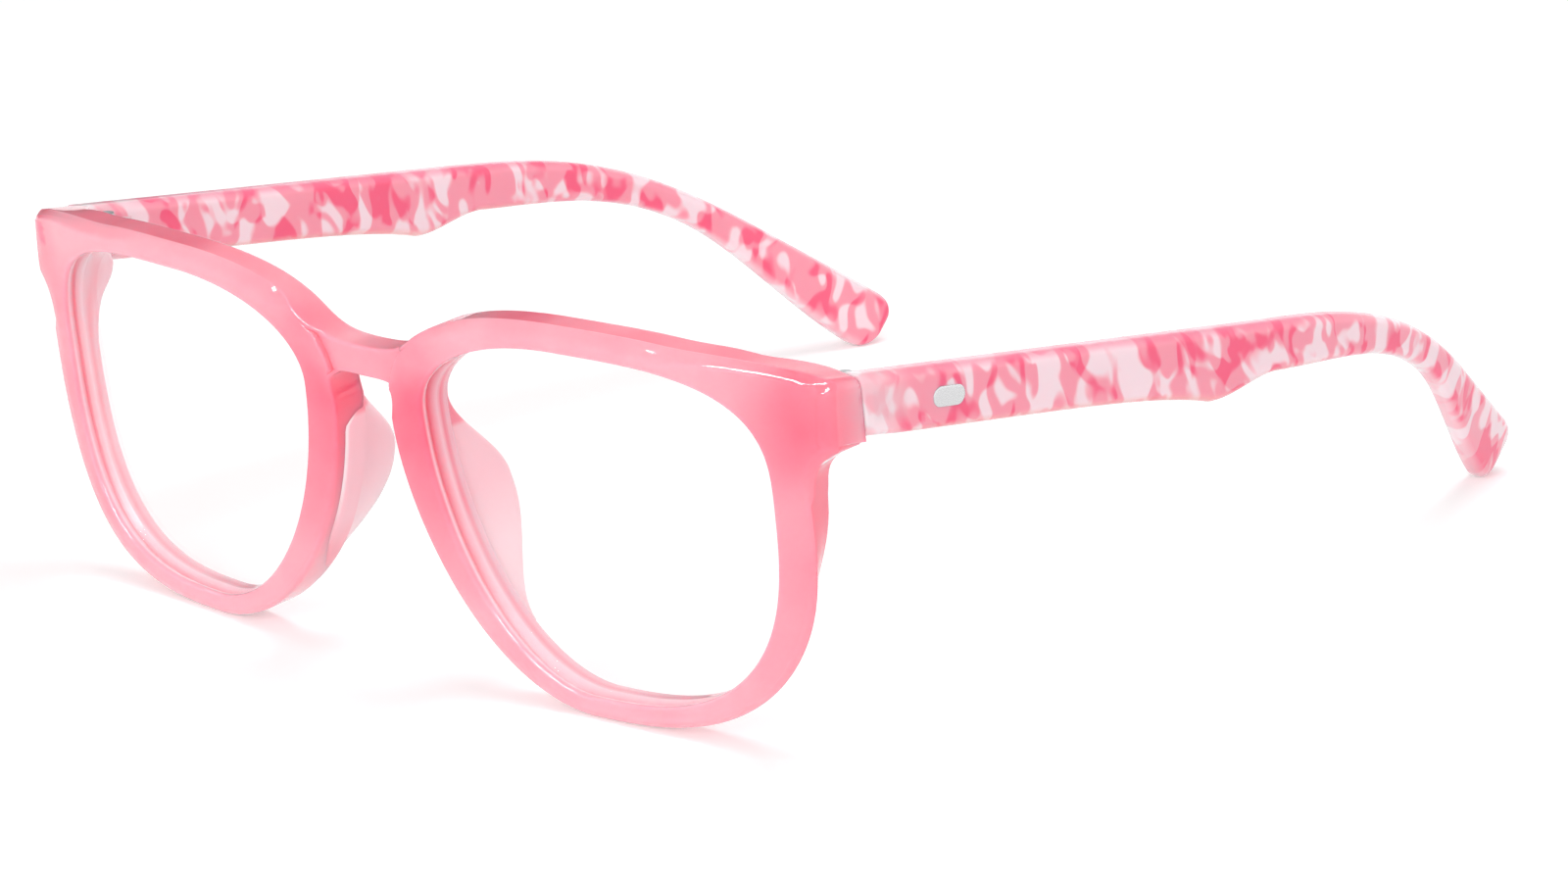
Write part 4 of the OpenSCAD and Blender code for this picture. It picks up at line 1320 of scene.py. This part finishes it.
def world():
    """White to the camera, and for light a soft sky that is darker above and towards one side."""
    made = bpy.data.worlds.new("studio")
    bpy.context.scene.world = made
    made.use_nodes = True
    tree = made.node_tree
    tree.nodes.clear()
    path = node(tree, "ShaderNodeLightPath")
    way = node(tree, "ShaderNodeTexCoord").outputs["Generated"]
    rise = node(tree, "ShaderNodeSeparateXYZ", Vector=way).outputs["Z"]
    level = between(tree, rise, *SOFT_RISE, *SOFT_LEVELS)
    aside = node(tree, "ShaderNodeVectorMath", {"operation": "DOT_PRODUCT"})
    tree.links.new(way, aside.inputs[0])
    aside.inputs[1].default_value = DARK_WAY
    left = between(tree, aside.outputs["Value"], *DARK_SPAN, 1.0, 1 - DARK_SHARE)
    level = calculate(tree, "MULTIPLY", level, left)
    soft = node(tree, "ShaderNodeBackground", Color=WHITE, Strength=level)
    white = node(tree, "ShaderNodeBackground", Color=WHITE, Strength=1.0)
    mixed = shader_mix(tree, path.outputs["Is Camera Ray"], soft, white)
    show(tree, mixed, "ShaderNodeOutputWorld")


# Lamps in metres and watts, as name, place, size and power

LAMP_TARGET = Vector((0, 0, 0.02))
LAMPS = (("above", (0.05, 0.22, 0.95), (0.45, 0.35), 3.0),
         ("front", (0.30, -1.00, 0.40), (1.00, 0.60), 4.4))
STRIPS = (("front_strip", (-0.05, -0.57, 0.79), (0.60, 0.26), 14.0),
          ("right_strip", (0.45, -0.44, 0.76), (0.30, 0.26), 8.0))


def lamp(name, at, size, power, for_gloss=False):
    """An area lamp aimed at the object. One for gloss is a strip that only shows in reflections."""
    data = bpy.data.lights.new(name, "AREA")
    data.shape = "RECTANGLE"
    data.size = size[0]
    data.size_y = size[1]
    data.energy = power
    made = bpy.data.objects.new(name, data)
    made.location = at
    made.visible_diffuse = not for_gloss
    made.visible_glossy = for_gloss
    toward = LAMP_TARGET - Vector(at)
    made.rotation_euler = toward.to_track_quat("-Z", "Y").to_euler()
    bpy.context.scene.collection.objects.link(made)


# Camera

VIEW_TARGET = Vector((0.0201754, -0.0231122, 0.020615))
VIEW_AZIMUTH = math.radians(44.7532)
VIEW_ELEVATION = math.radians(16.0358)
VIEW_ROLL = math.radians(-2.4339)
VIEW_DISTANCE = 0.7538757
VIEW_FOCAL = 138.377
SENSOR_W = 36
NEAREST = 0.01


def camera():
    data = bpy.data.cameras.new("camera")
    data.sensor_width = SENSOR_W
    data.lens = VIEW_FOCAL
    data.clip_start = NEAREST
    made = bpy.data.objects.new("camera", data)
    bpy.context.scene.collection.objects.link(made)
    back = Vector((
        math.sin(VIEW_AZIMUTH) * math.cos(VIEW_ELEVATION),
        -math.cos(VIEW_AZIMUTH) * math.cos(VIEW_ELEVATION),
        math.sin(VIEW_ELEVATION)))
    right = (-back).cross(Vector((0, 0, 1))).normalized()
    up = right.cross(-back)
    across = math.cos(VIEW_ROLL) * right + math.sin(VIEW_ROLL) * up
    above = math.cos(VIEW_ROLL) * up - math.sin(VIEW_ROLL) * right
    turn = Matrix((across, above, back)).transposed()
    made.matrix_world = Matrix.Translation(VIEW_TARGET + back * VIEW_DISTANCE) @ turn.to_4x4()
    bpy.context.scene.camera = made


# The whole scene

SIDES = {"left": 1, "right": -1}

front_pink = jelly()
pad_pink = pad_plastic()
temple_pattern = tortoise()
lens_clear = clear()
hinge_steel = metal("hinge_steel", shade=(0.78, 0.78, 0.80), gloss=(0.2, 0.4))
screw_steel = metal("screw_steel", shade=(0.70, 0.70, 0.72), gloss=(0.25, 0.45))
inlay_steel = metal("inlay_steel", shade=(0.80, 0.80, 0.81), gloss=(0.15, 0.3))

make_front(front_pink)
for side_name, side in SIDES.items():
    make_lens(side, "lens_" + side_name, lens_clear)
    make_pad(side, "nose_pad_" + side_name, pad_pink)
    make_temple(side, "temple_" + side_name, side_name + "_temple", temple_pattern)
    make_inlay(side, "temple_inlay_" + side_name, side_name + "_temple", inlay_steel)
    for part in ("hinge_front", "hinge_temple", "hinge_screw"):
        carried = frame["nodes"][part + "_" + side_name]
        carried.data.materials.clear()
        carried.data.materials.append(screw_steel if part == "hinge_screw" else hinge_steel)

floor()
world()
for row in LAMPS:
    lamp(*row)
for row in STRIPS:
    lamp(*row, for_gloss=True)
camera()
bpy.context.scene.view_settings.view_transform = "Standard"
